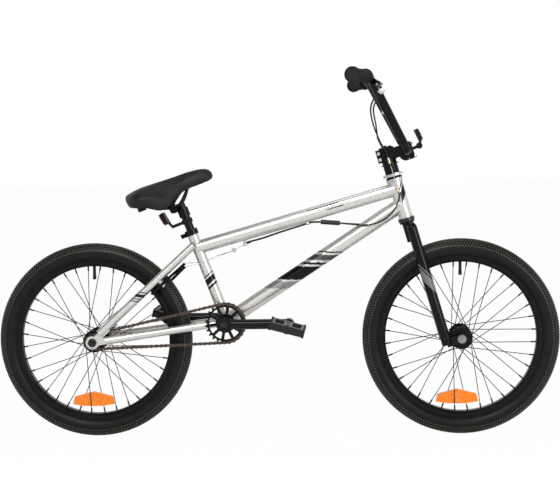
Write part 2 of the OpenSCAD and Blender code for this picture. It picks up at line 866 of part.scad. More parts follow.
module pedal_body() {
    half = pedal_len / 2;
    tooth_step = (pedal_w - 8) / (pedal_teeth - 1);
    difference() {
        union() {
            translate([-half, -pedal_t / 2, 0]) difference() {
                cube([pedal_len, pedal_t, pedal_w]);
                for (x = [pedal_rail, half + pedal_rail]) translate([x, -1, pedal_rail])
                    cube([half - 2 * pedal_rail, pedal_t + 2, pedal_w - 2 * pedal_rail]);
                for (x = [-1, pedal_len - 6]) translate([x, pedal_t / 2 - 3, 6])
                    cube([7, 6, pedal_w - 12]);
            }
            cylinder(d = pedal_tube_d, h = pedal_w);
            for (x = [-half + 3, half - 3]) for (i = [0 : pedal_teeth - 1])
                translate([x, 0, 4 + tooth_step * i])
                    cube([5, pedal_t + 2 * pedal_tooth, 4], center = true);
        }
        translate([0, 0, -1]) cylinder(d = pedal_axle_d + 2 * fit, h = pedal_w - 4);
    }
}

module right_pedal() {
    color(matt_black) wheel_frame(right_pedal_at)
        translate([0, 0, pedal_in]) rotate(-pedal_tilt) pedal_body();
}

module left_pedal() {
    color(matt_black) wheel_frame(left_pedal_at) rotate([0, 180, 0])
        translate([0, 0, pedal_in]) rotate(pedal_tilt) pedal_body();
}

// Fork
leg_x = 7;
leg_top_y = 34;
leg_low_y = front_hub_w / 2 + dropout_t + 3;
leg_low_z = axle_z - 4;
crown_z = leg_top_z - 22;
crown_d = 24;
steerer_wall = 2.5;
leg_wall = 2.5;
leg_top = [leg_x, -leg_top_y, leg_top_z - fork_leg_d / 2];
leg_low = [leg_x, -leg_low_y, leg_low_z];

module crown_tube() {
    translate([leg_x * 0.6, 0, crown_z]) rotate([90, 0, 0])
        cylinder(d = crown_d, h = 2 * leg_top_y, center = true);
}

module steerer_tube() {
    color(gloss_black) steer_frame() difference() {
        union() {
            translate([0, 0, steerer_low_z]) cylinder(d = steerer_d, h = stem_top_z - 3 - steerer_low_z);
            translate([0, 0, crown_race_z - gap - 5]) cylinder(d = cup_d - 4, h = 5);
            crown_tube();
        }
        translate([0, 0, steerer_low_z - 1])
            cylinder(d = steerer_d - 2 * steerer_wall, h = stem_top_z - steerer_low_z);
    }
}

module leg_shape(d, len) {
    rotate_extrude() {
        square([d / 2, len]);
        translate([0, len]) intersection() {
            circle(d = d);
            square(d);
        }
    }
}

module fork_leg() {
    leg_len = norm(leg_top - leg_low);
    steer_frame() difference() {
        aim(leg_low, leg_top) difference() {
            leg_shape(fork_leg_d, leg_len);
            translate([0, 0, -1]) cylinder(d = fork_leg_d - 2 * leg_wall, h = leg_len - 10);
        }
        crown_tube();
    }
}

module fork_plate() {
    leg_foot = (leg_x - fork_offset) * [steer_ahead[0], steer_ahead[2]];
    wheel_frame(front_axle_at) translate([0, 0, front_hub_w / 2]) linear_extrude(dropout_t) {
        circle(d = plate_eye_d - 4);
        bar2d([0, 0], leg_foot, plate_arm_w + 5);
        bar2d(leg_foot, leg_foot + 36 * [steer_up[0], steer_up[2]], plate_arm_w);
    }
}

module fork_legs() {
    color(gloss_black) both_sides() difference() {
        union() {
            fork_leg();
            fork_plate();
        }
        wheel_frame(front_axle_at) cylinder(d = axle_d + 0.4, h = 2 * front_hub_w, center = true);
    }
}

// Spacers, the detangler's cable plate and its two sliding plates
ear_w = 12;
ear_end = tab_y + 6;
cover_h = 3.2;

module eared_plate(d, bore, t) {
    difference() {
        union() {
            cylinder(d = d, h = t);
            translate([-ear_w / 2, -ear_end, 0]) cube([ear_w, 2 * ear_end, t]);
        }
        translate([0, 0, -1]) cylinder(d = bore, h = t + 2);
        both_sides() translate([0, tab_y, -1]) cylinder(d = wire_d + 1.4, h = t + 2);
    }
}

module headset_spacers() {
    bore = steerer_d + 2 * fit;
    spacer_low = cup_top + gap + cover_h;
    color(gloss_black) steer_frame() {
        translate([0, 0, cup_top + gap]) ring(cup_d, bore, cover_h);
        translate([0, 0, spacer_low + fit]) ring(spacer_d, bore, tab_plate_z - spacer_low - 2 * fit);
        translate([0, 0, tab_plate_z]) eared_plate(spacer_d + 9, bore, tab_plate_t);
        translate([0, 0, tab_plate_z + tab_plate_t + fit])
            ring(spacer_d, bore, stem_low_z - tab_plate_z - tab_plate_t - 2 * fit);
    }
}

gyro_d = 54;
gyro_bore = spacer_d + 0.5;

module gyro_lower_plate() {
    color(bright_steel) steer_frame() translate([0, 0, gyro_low_z])
        eared_plate(gyro_d, gyro_bore, gyro_plate_t);
}

module gyro_upper_plate() {
    color(bright_steel) steer_frame() translate([0, 0, gyro_high_z])
        eared_plate(gyro_d - 4, gyro_bore, gyro_plate_t);
}

// Stem
stem_d = 42;
stem_w = 50;
stem_half_h = 23;
cheek_x = -27;
face_bolt_y = 17;
face_bolt_z = 17.5;
stem_bolt_d = 5;
stem_head_d = 8.5;
face_t = 16;
face_gap = 1.2;
rear_bolt_x = -21;

module bar_bore() {
    translate([stem_reach, 0, bar_clamp_z]) rotate([90, 0, 0])
        cylinder(d = bar_d + 2 * fit, h = 2 * stem_w, center = true);
}

module clamp_block(x, len) {
    intersection() {
        translate([x, -stem_w / 2, bar_clamp_z - stem_half_h]) cube([len, stem_w, 2 * stem_half_h]);
        translate([stem_reach, 0, bar_clamp_z]) rotate([90, 0, 0])
            cylinder(d = 50, h = stem_w, center = true);
    }
}

module face_bolts() {
    for (y = [-face_bolt_y, face_bolt_y]) for (z = [-face_bolt_z, face_bolt_z])
        translate([0, y, bar_clamp_z + z]) rotate([0, 90, 0]) children();
}

module rear_bolts() {
    for (z = [-8, 8]) translate([rear_bolt_x, 0, stem_mid_z + z]) rotate([90, 0, 0]) children();
}

module stem() {
    color(gloss_black) steer_frame() difference() {
        union() {
            translate([0, 0, stem_low_z]) cylinder(d = stem_d, h = stem_h);
            translate([cheek_x, -13, stem_low_z]) cube([-cheek_x, 26, stem_h]);
            translate([0, -20, stem_low_z + 2]) cube([stem_reach - 14, 40, stem_h - 6]);
            clamp_block(stem_reach - 21, 21 - face_gap / 2);
        }
        translate([0, 0, stem_low_z - 1]) cylinder(d = steerer_d + 2 * fit, h = stem_h + 2);
        translate([cheek_x - 1, -1, stem_low_z - 1]) cube([20, 2, stem_h + 2]);
        bar_bore();
        face_bolts() cylinder(d = stem_bolt_d + 0.4, h = 2 * stem_reach, center = true);
        rear_bolts() cylinder(d = stem_bolt_d + 0.4, h = 60, center = true);
    }
}

module stem_faceplate() {
    color(gloss_black) steer_frame() difference() {
        clamp_block(stem_reach + face_gap / 2, face_t - face_gap / 2);
        bar_bore();
        face_bolts() cylinder(d = stem_bolt_d + 0.4, h = 4 * stem_reach, center = true);
    }
}

module stem_bolts() {
    color(bright_steel) steer_frame() {
        face_bolts() {
            translate([0, 0, stem_reach - 12]) cylinder(d = stem_bolt_d, h = face_t + 12);
            translate([0, 0, stem_reach + face_t]) cylinder(d = stem_head_d, h = 4.5);
        }
        rear_bolts() {
            translate([0, 0, -13]) cylinder(d = stem_bolt_d, h = 26);
            translate([0, 0, 13]) cylinder(d = stem_head_d, h = 4);
            translate([0, 0, -16]) cylinder(d = stem_head_d, h = 3, $fn = 6);
        }
    }
}

module top_cap() {
    color(gloss_black) steer_frame() translate([0, 0, stem_top_z]) {
        cylinder(d = 34, h = 3.5);
        translate([0, 0, 3.5]) cylinder(d = 9, h = 3);
        translate([0, 0, -14]) cylinder(d = 6, h = 14);
    }
}

// Handlebar: straight stretches joined by round bends
bend_r = 40;

function bend(p, i, r, n) =
    let (a = unit(p[i - 1] - p[i]))
    let (b = unit(p[i + 1] - p[i]))
    let (open = acos(a * b))
    let (centre = p[i] + unit(a + b) * r / sin(open / 2))
    let (from = p[i] + a * r / tan(open / 2) - centre)
    let (to = p[i] + b * r / tan(open / 2) - centre)
    let (turn = 180 - open)
    [for (k = [0 : n]) centre + (sin(turn * (1 - k / n)) * from + sin(turn * k / n) * to) / sin(turn)];

function bent(p, r, n) = concat(
    [p[0]],
    [for (i = [1 : len(p) - 2]) each bend(p, i, r, n)],
    [p[len(p) - 1]]
);

bar_corners = concat([for (i = [3, 2, 1]) flip(bar_route[i])], [for (i = [1, 2, 3]) bar_route[i]]);

module handlebar() {
    color(gloss_black) sweep(bent(bar_corners, bend_r, 8), bar_d, 24);
}

crossbar_d = 19;
crossbar_share = 0.56;
crossbar_end = mix(bar_route[1], bar_route[2], crossbar_share);

module crossbar() {
    color(gloss_black) difference() {
        rod(flip(crossbar_end), crossbar_end, crossbar_d);
        both_sides() rod(bar_route[1], bar_route[2], bar_d);
    }
}

grip_ribs = 24;
rib_h = 1.4;

module grip_shape() {
    r = grip_d / 2;
    flange_r = grip_flange_d / 2;
    bore_r = bar_d / 2 + fit;
    rib_step = (grip_len - 14) / grip_ribs;
    ribs = [for (i = [0 : grip_ribs - 1]) each [
        [r - rib_h, 5 + rib_step * i], [r, 5 + rib_step * (i + 0.3)], [r, 5 + rib_step * (i + 0.7)]
    ]];
    rotate_extrude() polygon(concat(
        [[bore_r, 0], [r + 2, 0], [r + 2, 4]], ribs,
        [[r - rib_h, grip_len - 9], [flange_r, grip_len - 8], [flange_r, grip_len - 1],
         [flange_r - 1, grip_len], [0, grip_len], [0, grip_len - 3], [bore_r, grip_len - 3]]
    ));
}

module grips() {
    color(rubber_black) both_sides() aim(grip_start, grip_end) grip_shape();
}

// Brake lever: x of its frame runs out along the grip, y towards the blade and z along the pivot
lever_at = grip_start - 9 * grip_dir;
lever_aim = [0.82, 0, -0.57];
lever_off = unit(lever_aim - (lever_aim * grip_dir) * grip_dir);
lever_pivot = cross(grip_dir, lever_off);
lever_pin_at = [6, 34];
lever_pin_d = 5;
lever_t = 7;
lever_route = [lever_pin_at, [12, 48], [32, 59], [60, 64], [96, 68]];
lever_clamp_w = 11;

module lever_frame() {
    multmatrix([for (i = [0 : 2]) [grip_dir[i], lever_off[i], lever_pivot[i], lever_at[i]]]) children();
}

module lever_bracket() {
    color(gloss_black) lever_frame() {
        difference() {
            union() {
                translate([-lever_clamp_w / 2, 0, 0]) rotate([0, 90, 0])
                    cylinder(d = bar_d + 9, h = lever_clamp_w);
                translate([-5, 8, -8]) cube([10, 14, 16]);
                translate([-5, 19.5, -8]) cube([17, 20.5, 16]);
                translate([-22, 34, 0]) rotate([0, 90, 0]) cylinder(d = 10, h = 20);
            }
            translate([-20, 0, 0]) rotate([0, 90, 0]) cylinder(d = bar_d + 2 * fit, h = 40);
            translate([-1, 21.5, -lever_t / 2 - gap]) cube([20, 30, lever_t + 2 * gap]);
            translate([lever_pin_at[0], lever_pin_at[1], -20]) cylinder(d = lever_pin_d + 2 * fit, h = 40);
        }
        translate([lever_pin_at[0], lever_pin_at[1], -9]) cylinder(d = lever_pin_d, h = 18);
    }
}

module brake_lever() {
    color(bright_steel) lever_frame() translate([0, 0, -lever_t / 2]) linear_extrude(lever_t) difference() {
        union() {
            path2d(lever_route, 10);
            translate(lever_pin_at) circle(d = 12);
            translate(lever_route[4]) circle(d = 13);
        }
        translate(lever_pin_at) circle(d = lever_pin_d + 2 * fit);
    }
}

// Front reflector: a plate ahead of the bar on a bracket that grips the bar beside the stem
front_plate_at = bar_clamp_at + [29.5, 0, 41];
front_plate_lean = 25;
front_plate_h = 30;
front_plate_w = 68;
front_plate_t = 10;
band_w = 9;
front_band_y = stem_w / 2 + 2 + band_w / 2;
knuckle_d = 16;
knuckle_w = 12;

module front_reflector() {
    band_at = bar_clamp_at + [0, -front_band_y, 0];
    knuckle_at = band_at + [31, 0, 13];
    plate_foot = front_plate_at + [5, -front_band_y, -11];
    color(matt_black) {
        translate(front_plate_at) rotate([0, -front_plate_lean, 0])
            cube([front_plate_t, front_plate_w, front_plate_h], center = true);
        difference() {
            union() {
                translate(band_at) rotate([90, 0, 0]) cylinder(d = bar_d + 8, h = band_w, center = true);
                rod(band_at, knuckle_at, 8);
                translate(knuckle_at) rotate([90, 0, 0])
                    cylinder(d = knuckle_d, h = knuckle_w, center = true);
                rod(knuckle_at, plate_foot, 7);
            }
            translate(band_at) rotate([90, 0, 0])
                cylinder(d = bar_d + 2 * fit, h = 2 * band_w, center = true);
            translate(front_plate_at) rotate([0, -front_plate_lean, 0])
                cube([front_plate_t, front_plate_w, front_plate_h], center = true);
        }
    }
}

// Seat post and saddle
post_top = bb_at + (seat_tube_len + post_show) * seat_up;
post_in = 100;
post_crown = 14;
saddle_at = post_top + [-146.5, 0, 31];
clamp_at = post_top + [-19, 0, -1];
rail_y = 21;

module seat_post() {
    color(gloss_black) seat_frame() translate([0, 0, seat_tube_len - post_in]) difference() {
        cylinder(d = seat_post_d, h = post_in + post_show + post_crown);
        translate([0, 0, -1]) cylinder(d = seat_post_d - 4, h = post_in);
    }
}

clamp_cheek = rail_y - rail_d / 2 - gap;

module saddle_clamp() {
    ring_h = 24;
    color(gloss_black) {
        difference() {
            union() {
                seat_frame() translate([0, 0, seat_tube_len + post_show - ring_h])
                    cylinder(d = seat_post_d + 7, h = ring_h);
                translate(clamp_at) rotate([90, 0, 0]) cylinder(d = 23, h = 2 * clamp_cheek, center = true);
            }
            seat_frame() cylinder(d = seat_post_d + 2 * fit, h = 2 * seat_tube_len);
            translate(clamp_at + [-3, 0, -8.5]) rotate([90, 0, 0]) cylinder(d = 6.4, h = 100, center = true);
        }
        both_sides() translate(clamp_at + [0, -rail_y - rail_d / 2 - gap, 0]) rotate([90, 0, 0])
            difference() {
                cylinder(d = 21, h = 5);
                translate([-3, -8.5, -1]) cylinder(d = 6.4, h = 10);
            }
        translate(clamp_at + [-3, 0, -8.5]) rotate([90, 0, 0])
            cylinder(d = 6, h = 2 * rail_y + 24, center = true);
    }
}

// Saddle outline from tail to nose: place along the length, share of the half width,
// and the depth of the skirt and height of the top as shares of the greatest depth
saddle_shares = [
    [0, 0.42, 0.41, 0], [0.03, 0.66, 0.51, 0.04], [0.1, 0.92, 0.62, 0.07], [0.2, 1, 0.72, 0.09],
    [0.34, 0.9, 1, 0.07], [0.44, 0.7, 0.96, 0.05], [0.52, 0.56, 0.79, 0.035], [0.62, 0.43, 0.62, 0.02],
    [0.76, 0.34, 0.6, 0.015], [0.89, 0.29, 0.6, -0.03], [0.965, 0.21, 0.56, -0.13], [1, 0.07, 0.47, -0.29]
];
saddle_outline = [for (s = saddle_shares) [s[0], s[1], s[2] * saddle_deep, s[3] * saddle_deep]];
saddle_stations = curve(saddle_outline, 3);
pad_depth = 30;
pad_section = [[0, 0], [0.3, 0.02], [0.6, 0.09], [0.85, 0.24], [1, 0.5], [0.98, 0.8], [0.9, 1], [0.76, 1]];

function pad_half(s) =
    let (w = s[1] * saddle_w / 2)
    let (h = s[2] + s[3])
    let (under = min(1, pad_depth / h))
    concat(
        [for (p = pad_section) [p[0] * w, s[3] - p[1] * h]],
        [[0.62 * w, s[3] - under * h], [0.3 * w, s[3] - under * h - 0.01]]
    );

function pad_ring(s) =
    let (half = pad_half(s))
    let (x = s[0] * saddle_len)
    concat(
        [for (p = half) [x, p[0], p[1]]],
        [for (i = [len(half) - 1 : -1 : 1]) [x, -half[i][0], half[i][1]]]
    );

module loft(rings) {
    n = len(rings[0]);
    m = len(rings);
    walls = [for (i = [0 : m - 2]) for (k = [0 : n - 1]) for (half = [0, 1])
        let (a = i * n + k)
        let (b = i * n + (k + 1) % n)
        half == 0 ? [a, b, b + n] : [a, b + n, a + n]];
    first = [for (k = [1 : n - 2]) [0, k + 1, k]];
    last = [for (k = [1 : n - 2]) [(m - 1) * n, (m - 1) * n + k, (m - 1) * n + k + 1]];
    polyhedron(points = [for (r = rings) each r], faces = concat(walls, first, last));
}

module saddle_frame() {
    translate(saddle_at) rotate([0, -saddle_tilt, 0]) children();
}

module saddle_pad() {
    color(matt_black) saddle_frame() loft([for (s = saddle_stations) pad_ring(s)]);
}

base_t = 4;
base_share = 0.56;
tail_lug_u = 0.12;
tail_lug_d = 22;
tail_lug_low = 50;
rail_gap = 0.8;

function base_ring(s) =
    let (w = base_share * s[1] * saddle_w / 2)
    let (x = s[0] * saddle_len)
    let (z = s[3] - pad_depth - gap)
    [[x, w, z], [x, w, z - base_t], [x, -w, z - base_t], [x, -w, z]];

module saddle_base() {
    inner = [for (s = saddle_stations) if (s[0] > 0.09 && s[0] < 0.88) s];
    color(matt_black) saddle_frame() {
        loft([for (s = inner) base_ring(s)]);
        translate([tail_lug_u * saddle_len, 0, -tail_lug_low])
            cylinder(d = tail_lug_d, h = tail_lug_low - pad_depth + base_t / 2);
    }
}

// Rails: each end meets the underside of the base
function saddle_seat(share, y, below) =
    let (top = lookup(share, [for (s = saddle_outline) [s[0], s[3]]]))
    let (u = share * saddle_len)
    let (w = top - pad_depth - base_t - 2 * gap - below)
    saddle_at + [u * cos(saddle_tilt) - w * sin(saddle_tilt), y, u * sin(saddle_tilt) + w * cos(saddle_tilt)];

rail_front_u = 0.665;
rail_rear_u = 0.16;
rail_route = [
    saddle_seat(rail_front_u, -8, rail_gap), saddle_seat(rail_front_u, -9, 7),
    clamp_at + [22, -rail_y, 22],
    clamp_at + [12, -rail_y, 9],
    clamp_at + [0, -rail_y, 3],
    clamp_at + [-20, -rail_y, 1],
    clamp_at + [-50, -rail_y - 4, 2],
    saddle_seat(rail_rear_u, -rail_y - 8, 8), saddle_seat(rail_rear_u, -rail_y - 8, rail_gap)
];

module saddle_rails() {
    color(gloss_black) both_sides() cable(rail_route, rail_d, 3);
}

// Rear reflector on a band around the seat post
rear_band_up = 24;
rear_band_z = seat_tube_len + rear_band_up;
rear_plate_back = 46;
rear_plate_drop = 27;
rear_plate_at = post_top - [rear_plate_back, 0, rear_plate_drop];
rear_plate_lean = 30;
rear_plate_h = 32;
rear_plate_w = 42;
rear_plate_t = 11;

module rear_plate() {
    translate(rear_plate_at) rotate([0, -rear_plate_lean, 0])
        cube([rear_plate_t, rear_plate_w, rear_plate_h], center = true);
}

module rear_reflector() {
    elbow = post_top + [-24, 0, -48];
    color(matt_black) {
        rear_plate();
        difference() {
            union() {
                seat_frame() translate([0, 0, rear_band_z - 6]) cylinder(d = seat_post_d + 6, h = 12);
                rod(bb_at + rear_band_z * seat_up, elbow, 8);
                rod(elbow + [1, 0, -3], rear_plate_at, 7);
            }
            seat_frame() cylinder(d = seat_post_d + 2 * fit, h = 2 * seat_tube_len);
            rear_plate();
        }
    }
}

// Rear brake: x of its frame points to the left, y up along the seat stays and z ahead of them
stay_ahead = [sin(stay_lift), 0, -cos(stay_lift)];
stay_along = [cos(stay_lift), 0, sin(stay_lift)];
axle_to_stay = seat_stay_low - rear_axle_at;
stay_mid = [seat_stay_low[0], 0, seat_stay_low[2]] - (axle_to_stay * stay_along) * stay_along;
brake_pivot_r = wheel_r - 19;
stay_run = norm([stay_flat[0], stay_flat[2]]);
pivot_share = (brake_pivot_r - axle_to_stay * stay_along) / stay_run;
brake_pivot_y = -seat_stay_low[1] - stay_flat[1] * pivot_share;
brake_bore = 8;
arm_t = 7;
boss_top = seat_stay_d / 2 + 5;
pad_r = rim_edge - 8;
pad_gap = 1.8;
pad_t = 11;
anchor_y = 17;
anchor_r = wheel_r + 46;
anchor_d = 13;

module brake_frame() {
    multmatrix([for (i = [0 : 2]) [i == 1 ? 1 : 0, stay_along[i], stay_ahead[i], stay_mid[i]]]) children();
}

function arm_low(side) = boss_top + gap + (side > 0 ? arm_t + gap : 0);

module brake_boss(side) {
    low = arm_low(side);
    translate([side * brake_pivot_y, brake_pivot_r, 0]) {
        cylinder(d = 13, h = low - gap);
        cylinder(d = brake_bore, h = low + arm_t + 1);
        translate([0, 0, low + arm_t + gap]) cylinder(d = 12, h = 4);
    }
}

module brake_bosses() {
    color(bright_steel) difference() {
        brake_frame() for (side = [-1, 1]) brake_boss(side);
        both_sides() rod(seat_stay_low, seat_stay_top, seat_stay_d);
    }
}

module brake_arm(side) {
    low = arm_low(side);
    pad_x = rim_w / 2 + pad_gap;
    brake_frame() difference() {
        union() {
            translate([0, 0, low]) linear_extrude(arm_t) {
                path2d([[side * brake_pivot_y, pad_r - 6], [side * brake_pivot_y, wheel_r + 8],
                        [side * 18, wheel_r + 18], [-side * 6, wheel_r + 24],
                        [-side * anchor_y, anchor_r]], 11);
                translate([side * brake_pivot_y, brake_pivot_r]) circle(d = 18);
                translate([-side * anchor_y, anchor_r]) circle(d = anchor_d);
            }
            translate([side * (pad_x + pad_t / 2), pad_r, arm_low(-1) + arm_t / 2])
                cube([pad_t, 8, 30], center = true);
            translate([side * (pad_x + pad_t - 1), pad_r, low + arm_t / 2]) rotate([0, 90 * side, 0])
                cylinder(d = 6, h = brake_pivot_y - pad_x - pad_t + 12);
        }
        translate([side * brake_pivot_y, brake_pivot_r, -1]) cylinder(d = brake_bore + 2 * fit, h = 60);
        translate([-side * anchor_y, anchor_r, -1]) cylinder(d = 5.4, h = 60);
    }
}

module right_brake_arm() { color(gloss_black) brake_arm(-1); }
module left_brake_arm() { color(gloss_black) brake_arm(1); }

// Cable stops under the top tube
top_slope = (top_tube_head[2] - top_tube_seat[2]) / (top_tube_head[0] - top_tube_seat[0]);
top_drop = top_tube_d / 2 * sqrt(1 + top_slope * top_slope);
function under_top(x, d) = [x, 0, top_tube_seat[2] + top_slope * (x - top_tube_seat[0]) - top_drop - d];
stop_x = -80;
clip_x = 85;
stop_drop = 9;
clip_drop = cable_d / 2 + gap;

module cable_stops() {
    color(bright_steel) difference() {
        union() {
            translate(under_top(stop_x, stop_drop / 2)) cube([8, 8, stop_drop + 9], center = true);
            translate(under_top(clip_x, clip_drop)) rotate([0, 90 - atan(top_slope), 0])
                cylinder(d = cable_d + 4, h = 7, center = true);
        }
        rod(top_tube_seat, top_tube_head, top_tube_d);
        translate(under_top(stop_x, stop_drop)) rotate([0, 90 - 28, 0])
            cylinder(d = wire_d + 1.4, h = 40, center = true);
        translate(under_top(clip_x, clip_drop)) rotate([0, 90 - atan(top_slope), 0])
            cylinder(d = cable_d + 0.6, h = 40, center = true);
    }
}

// Lower cable: two branches from the head tube to a joiner, then one housing to the stop
// and bare wire behind it
joiner_front = [168, 0, 551];
joiner_rear = [118, 0, 555];
joiner_d = 12;
hanger_back = 28;
hanger_drop = 14.8;
stop_at = under_top(stop_x, stop_drop);
hanger_at = stop_at - [hanger_back, 0, hanger_drop];
branch_route = [
    steer_point([0, -tab_y, cable_ear_z - 12]),
    steer_point([0, -tab_y, cable_ear_z - 24]),
    [315, -29, 600], [303, -28, 579], [283, -27, 561], [258, -26, 550], [232, -21, 546], [200, -9, 548],
    joiner_front + [0.4, -3.2, 0]
];
housing_route = [
    joiner_rear - [0.4, 0, 0],
    under_top(clip_x + 12, clip_drop + 0.6),
    under_top(clip_x, clip_drop),
    under_top(clip_x - 14, clip_drop + 0.4),
    under_top(10, clip_drop + 2),
    under_top(-30, clip_drop + 4),
    stop_at + [16, 0, 7]
];
hanger_pull = unit(stop_at - hanger_at);
wire_gap = 0.7;
wire_stop_r = anchor_r + anchor_d / 2 + wire_gap;
function wire_end(side) = stay_mid + wire_stop_r * stay_along + (arm_low(side) + arm_t / 2) * stay_ahead;

module lower_brake_cable() {
    color(rubber_black) {
        both_sides() cable(branch_route, cable_d - 1, 3);
        both_sides() rod(steer_point([0, -tab_y, cable_ear_z - 11.8]),
            steer_point([0, -tab_y, cable_ear_z - fit]), cable_d + 0.6);
        both_sides() rod(steer_point([0, -tab_y, cable_ear_z + fit]),
            steer_point([0, -tab_y, gyro_low_z - fit]), wire_d);
        rod(joiner_front, joiner_rear, joiner_d);
        cable(housing_route, cable_d, 4);
        rod(stop_at + [15.6, 0, 6.8], stop_at + [5.6, 0, 2.7], 7);
        rod(stop_at + [-5, 0, -2.6], hanger_at + 5.2 * hanger_pull, wire_d);
        for (side = [-1, 1]) cable([
            hanger_at - (4.5 + gap) * hanger_pull - [0, side * 4, 0], hanger_at - [42, side * 19, 15],
            hanger_at - [82, side * 20, 31], wire_end(side) - [0, side * anchor_y, 0]
        ], wire_d, 4);
    }
}

module straddle_hanger() {
    color(bright_steel) difference() {
        translate(hanger_at) rotate([0, -28, 0]) cube([9, 14, 12], center = true);
        rod(hanger_at - 20 * hanger_pull, hanger_at + 20 * hanger_pull, wire_d + 0.8);
    }
}

// Upper cable: two housings from the lever to the cable plate above the detangler
adjuster_top = tab_plate_z + tab_plate_t + 16;
lever_exit = lever_at - 22.3 * grip_dir + 34 * lever_off;
cable_pair = 2.4 * lever_pivot;
near_route = [
    lever_exit - cable_pair, lever_exit - cable_pair - 10 * grip_dir, [268, -183, 880], [256, -172, 862],
    [249, -155, 838], [256, -118, 800], [274, -66, 756],
    steer_point([0, -tab_y - 1, adjuster_top + 14]), steer_point([0, -tab_y, adjuster_top])
];
far_route = [
    lever_exit + cable_pair, lever_exit + cable_pair - 10 * grip_dir, [274, -178, 880], [263, -166, 860],
    [256, -148, 838], [262, -104, 802], [266, -40, 776], [268, 14, 766], [279, 34, 744],
    steer_point([0, tab_y, adjuster_top])
];

module adjuster() {
    translate([0, tab_y, tab_plate_z + tab_plate_t]) cylinder(d = 7, h = 15.7);
    translate([0, tab_y, gyro_high_z + gyro_plate_t + fit])
        cylinder(d = wire_d, h = tab_plate_z - gyro_high_z - gyro_plate_t - 2 * fit);
}

module upper_brake_cable() {
    color(rubber_black) {
        cable(near_route, cable_d - 1, 4);
        cable(far_route, cable_d - 1, 4);
        steer_frame() both_sides() adjuster();
    }
}

head_tube();
top_tube();
down_tube();
seat_tube();
bottom_bracket_shell();
chain_stays();
seat_stays();
rear_dropouts();
seat_clamp();
headset_cups();
bearings();
rear_axle();
cable_stops();
lower_brake_cable();
brake_bosses();
chain();
seat_post();
saddle_clamp();
saddle_rails();
saddle_base();
saddle_pad();
rear_reflector();
steerer_tube();
fork_legs();
front_axle();
headset_spacers();
stem();
stem_faceplate();
stem_bolts();
top_cap();
handlebar();
crossbar();
grips();
lever_bracket();
front_reflector();
upper_brake_cable();
brake_lever();
gyro_upper_plate();
gyro_lower_plate();
right_brake_arm();
left_brake_arm();
straddle_hanger();
front_tyre();
front_inner_tube();
front_rim();
front_spokes();
front_hub();
front_wheel_reflector();
rear_tyre();
rear_inner_tube();
rear_rim();
rear_spokes();
rear_hub();
rear_wheel_reflector();
rear_cog();
crank_arms();
chainring();
crank_spindle();
right_pedal();
left_pedal();
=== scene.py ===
import math

import bpy
from mathutils import Matrix, Vector


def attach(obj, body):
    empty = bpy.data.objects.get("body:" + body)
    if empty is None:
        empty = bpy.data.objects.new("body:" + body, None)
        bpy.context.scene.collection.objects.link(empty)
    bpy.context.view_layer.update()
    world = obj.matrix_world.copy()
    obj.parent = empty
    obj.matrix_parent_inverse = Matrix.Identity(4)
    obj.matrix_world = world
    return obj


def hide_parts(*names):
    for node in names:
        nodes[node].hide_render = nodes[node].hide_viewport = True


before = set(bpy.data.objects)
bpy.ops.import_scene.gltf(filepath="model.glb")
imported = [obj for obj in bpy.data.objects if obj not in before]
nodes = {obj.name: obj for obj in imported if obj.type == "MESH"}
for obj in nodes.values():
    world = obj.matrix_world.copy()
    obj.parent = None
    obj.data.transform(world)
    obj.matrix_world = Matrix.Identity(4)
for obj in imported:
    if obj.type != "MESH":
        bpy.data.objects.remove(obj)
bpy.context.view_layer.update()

FRONT_AXLE = Vector((0.475, 0, 0.254))
REAR_AXLE = Vector((-0.475, 0, 0.254))
TYRE_SECTION_AT = 0.229
TYRE_SECTION_R = 0.025
RIM_EDGE = 0.210
CRANK_CENTRE = Vector((-0.130335, 0, 0.3))
CRANK_LENGTH = 0.165
PEDAL_TILT = math.radians(15)
PEDAL_INNER = 0.090
PEDAL_WIDTH = 0.098
PEDAL_LENGTH = 0.090
PEDAL_THICKNESS = 0.017
HEAD = Vector((0.324252, 0, 0.609208))
STEER_UP = Vector((-0.275637, 0, 0.961262))
STEER_AHEAD = Vector((0.961262, 0, 0.275637))
STEER_LEAN = math.atan2(STEER_UP.x, STEER_UP.z)
BAR_CLAMP = Vector((0.341467, 0, 0.734195))
POST_TOP = Vector((-0.241, 0, 0.595988))


# Camera, at the photograph's angle

CAMERA_AT = Vector((0.22038, -3.65876, 0.77278))
CAMERA_YAW = math.radians(-3.2689)
CAMERA_PITCH = math.radians(-4.5943)
CAMERA_ROLL = math.radians(-1.0304)
CAMERA_LENS = 91.2
CAMERA_SENSOR = 36


def place_camera():
    ahead = Vector((
        math.sin(CAMERA_YAW) * math.cos(CAMERA_PITCH),
        math.cos(CAMERA_YAW) * math.cos(CAMERA_PITCH),
        math.sin(CAMERA_PITCH),
    ))
    level = Vector((math.cos(CAMERA_YAW), -math.sin(CAMERA_YAW), 0))
    up = level.cross(ahead)
    right = level * math.cos(CAMERA_ROLL) + up * math.sin(CAMERA_ROLL)
    top = up * math.cos(CAMERA_ROLL) - level * math.sin(CAMERA_ROLL)
    data = bpy.data.cameras.new("photo_camera")
    data.lens = CAMERA_LENS
    data.sensor_width = CAMERA_SENSOR
    data.clip_end = 100
    camera = bpy.data.objects.new("photo_camera", data)
    bpy.context.scene.collection.objects.link(camera)
    turn = Matrix((right, top, -ahead)).transposed().to_4x4()
    camera.matrix_world = Matrix.Translation(CAMERA_AT) @ turn
    bpy.context.scene.camera = camera


# Finishes

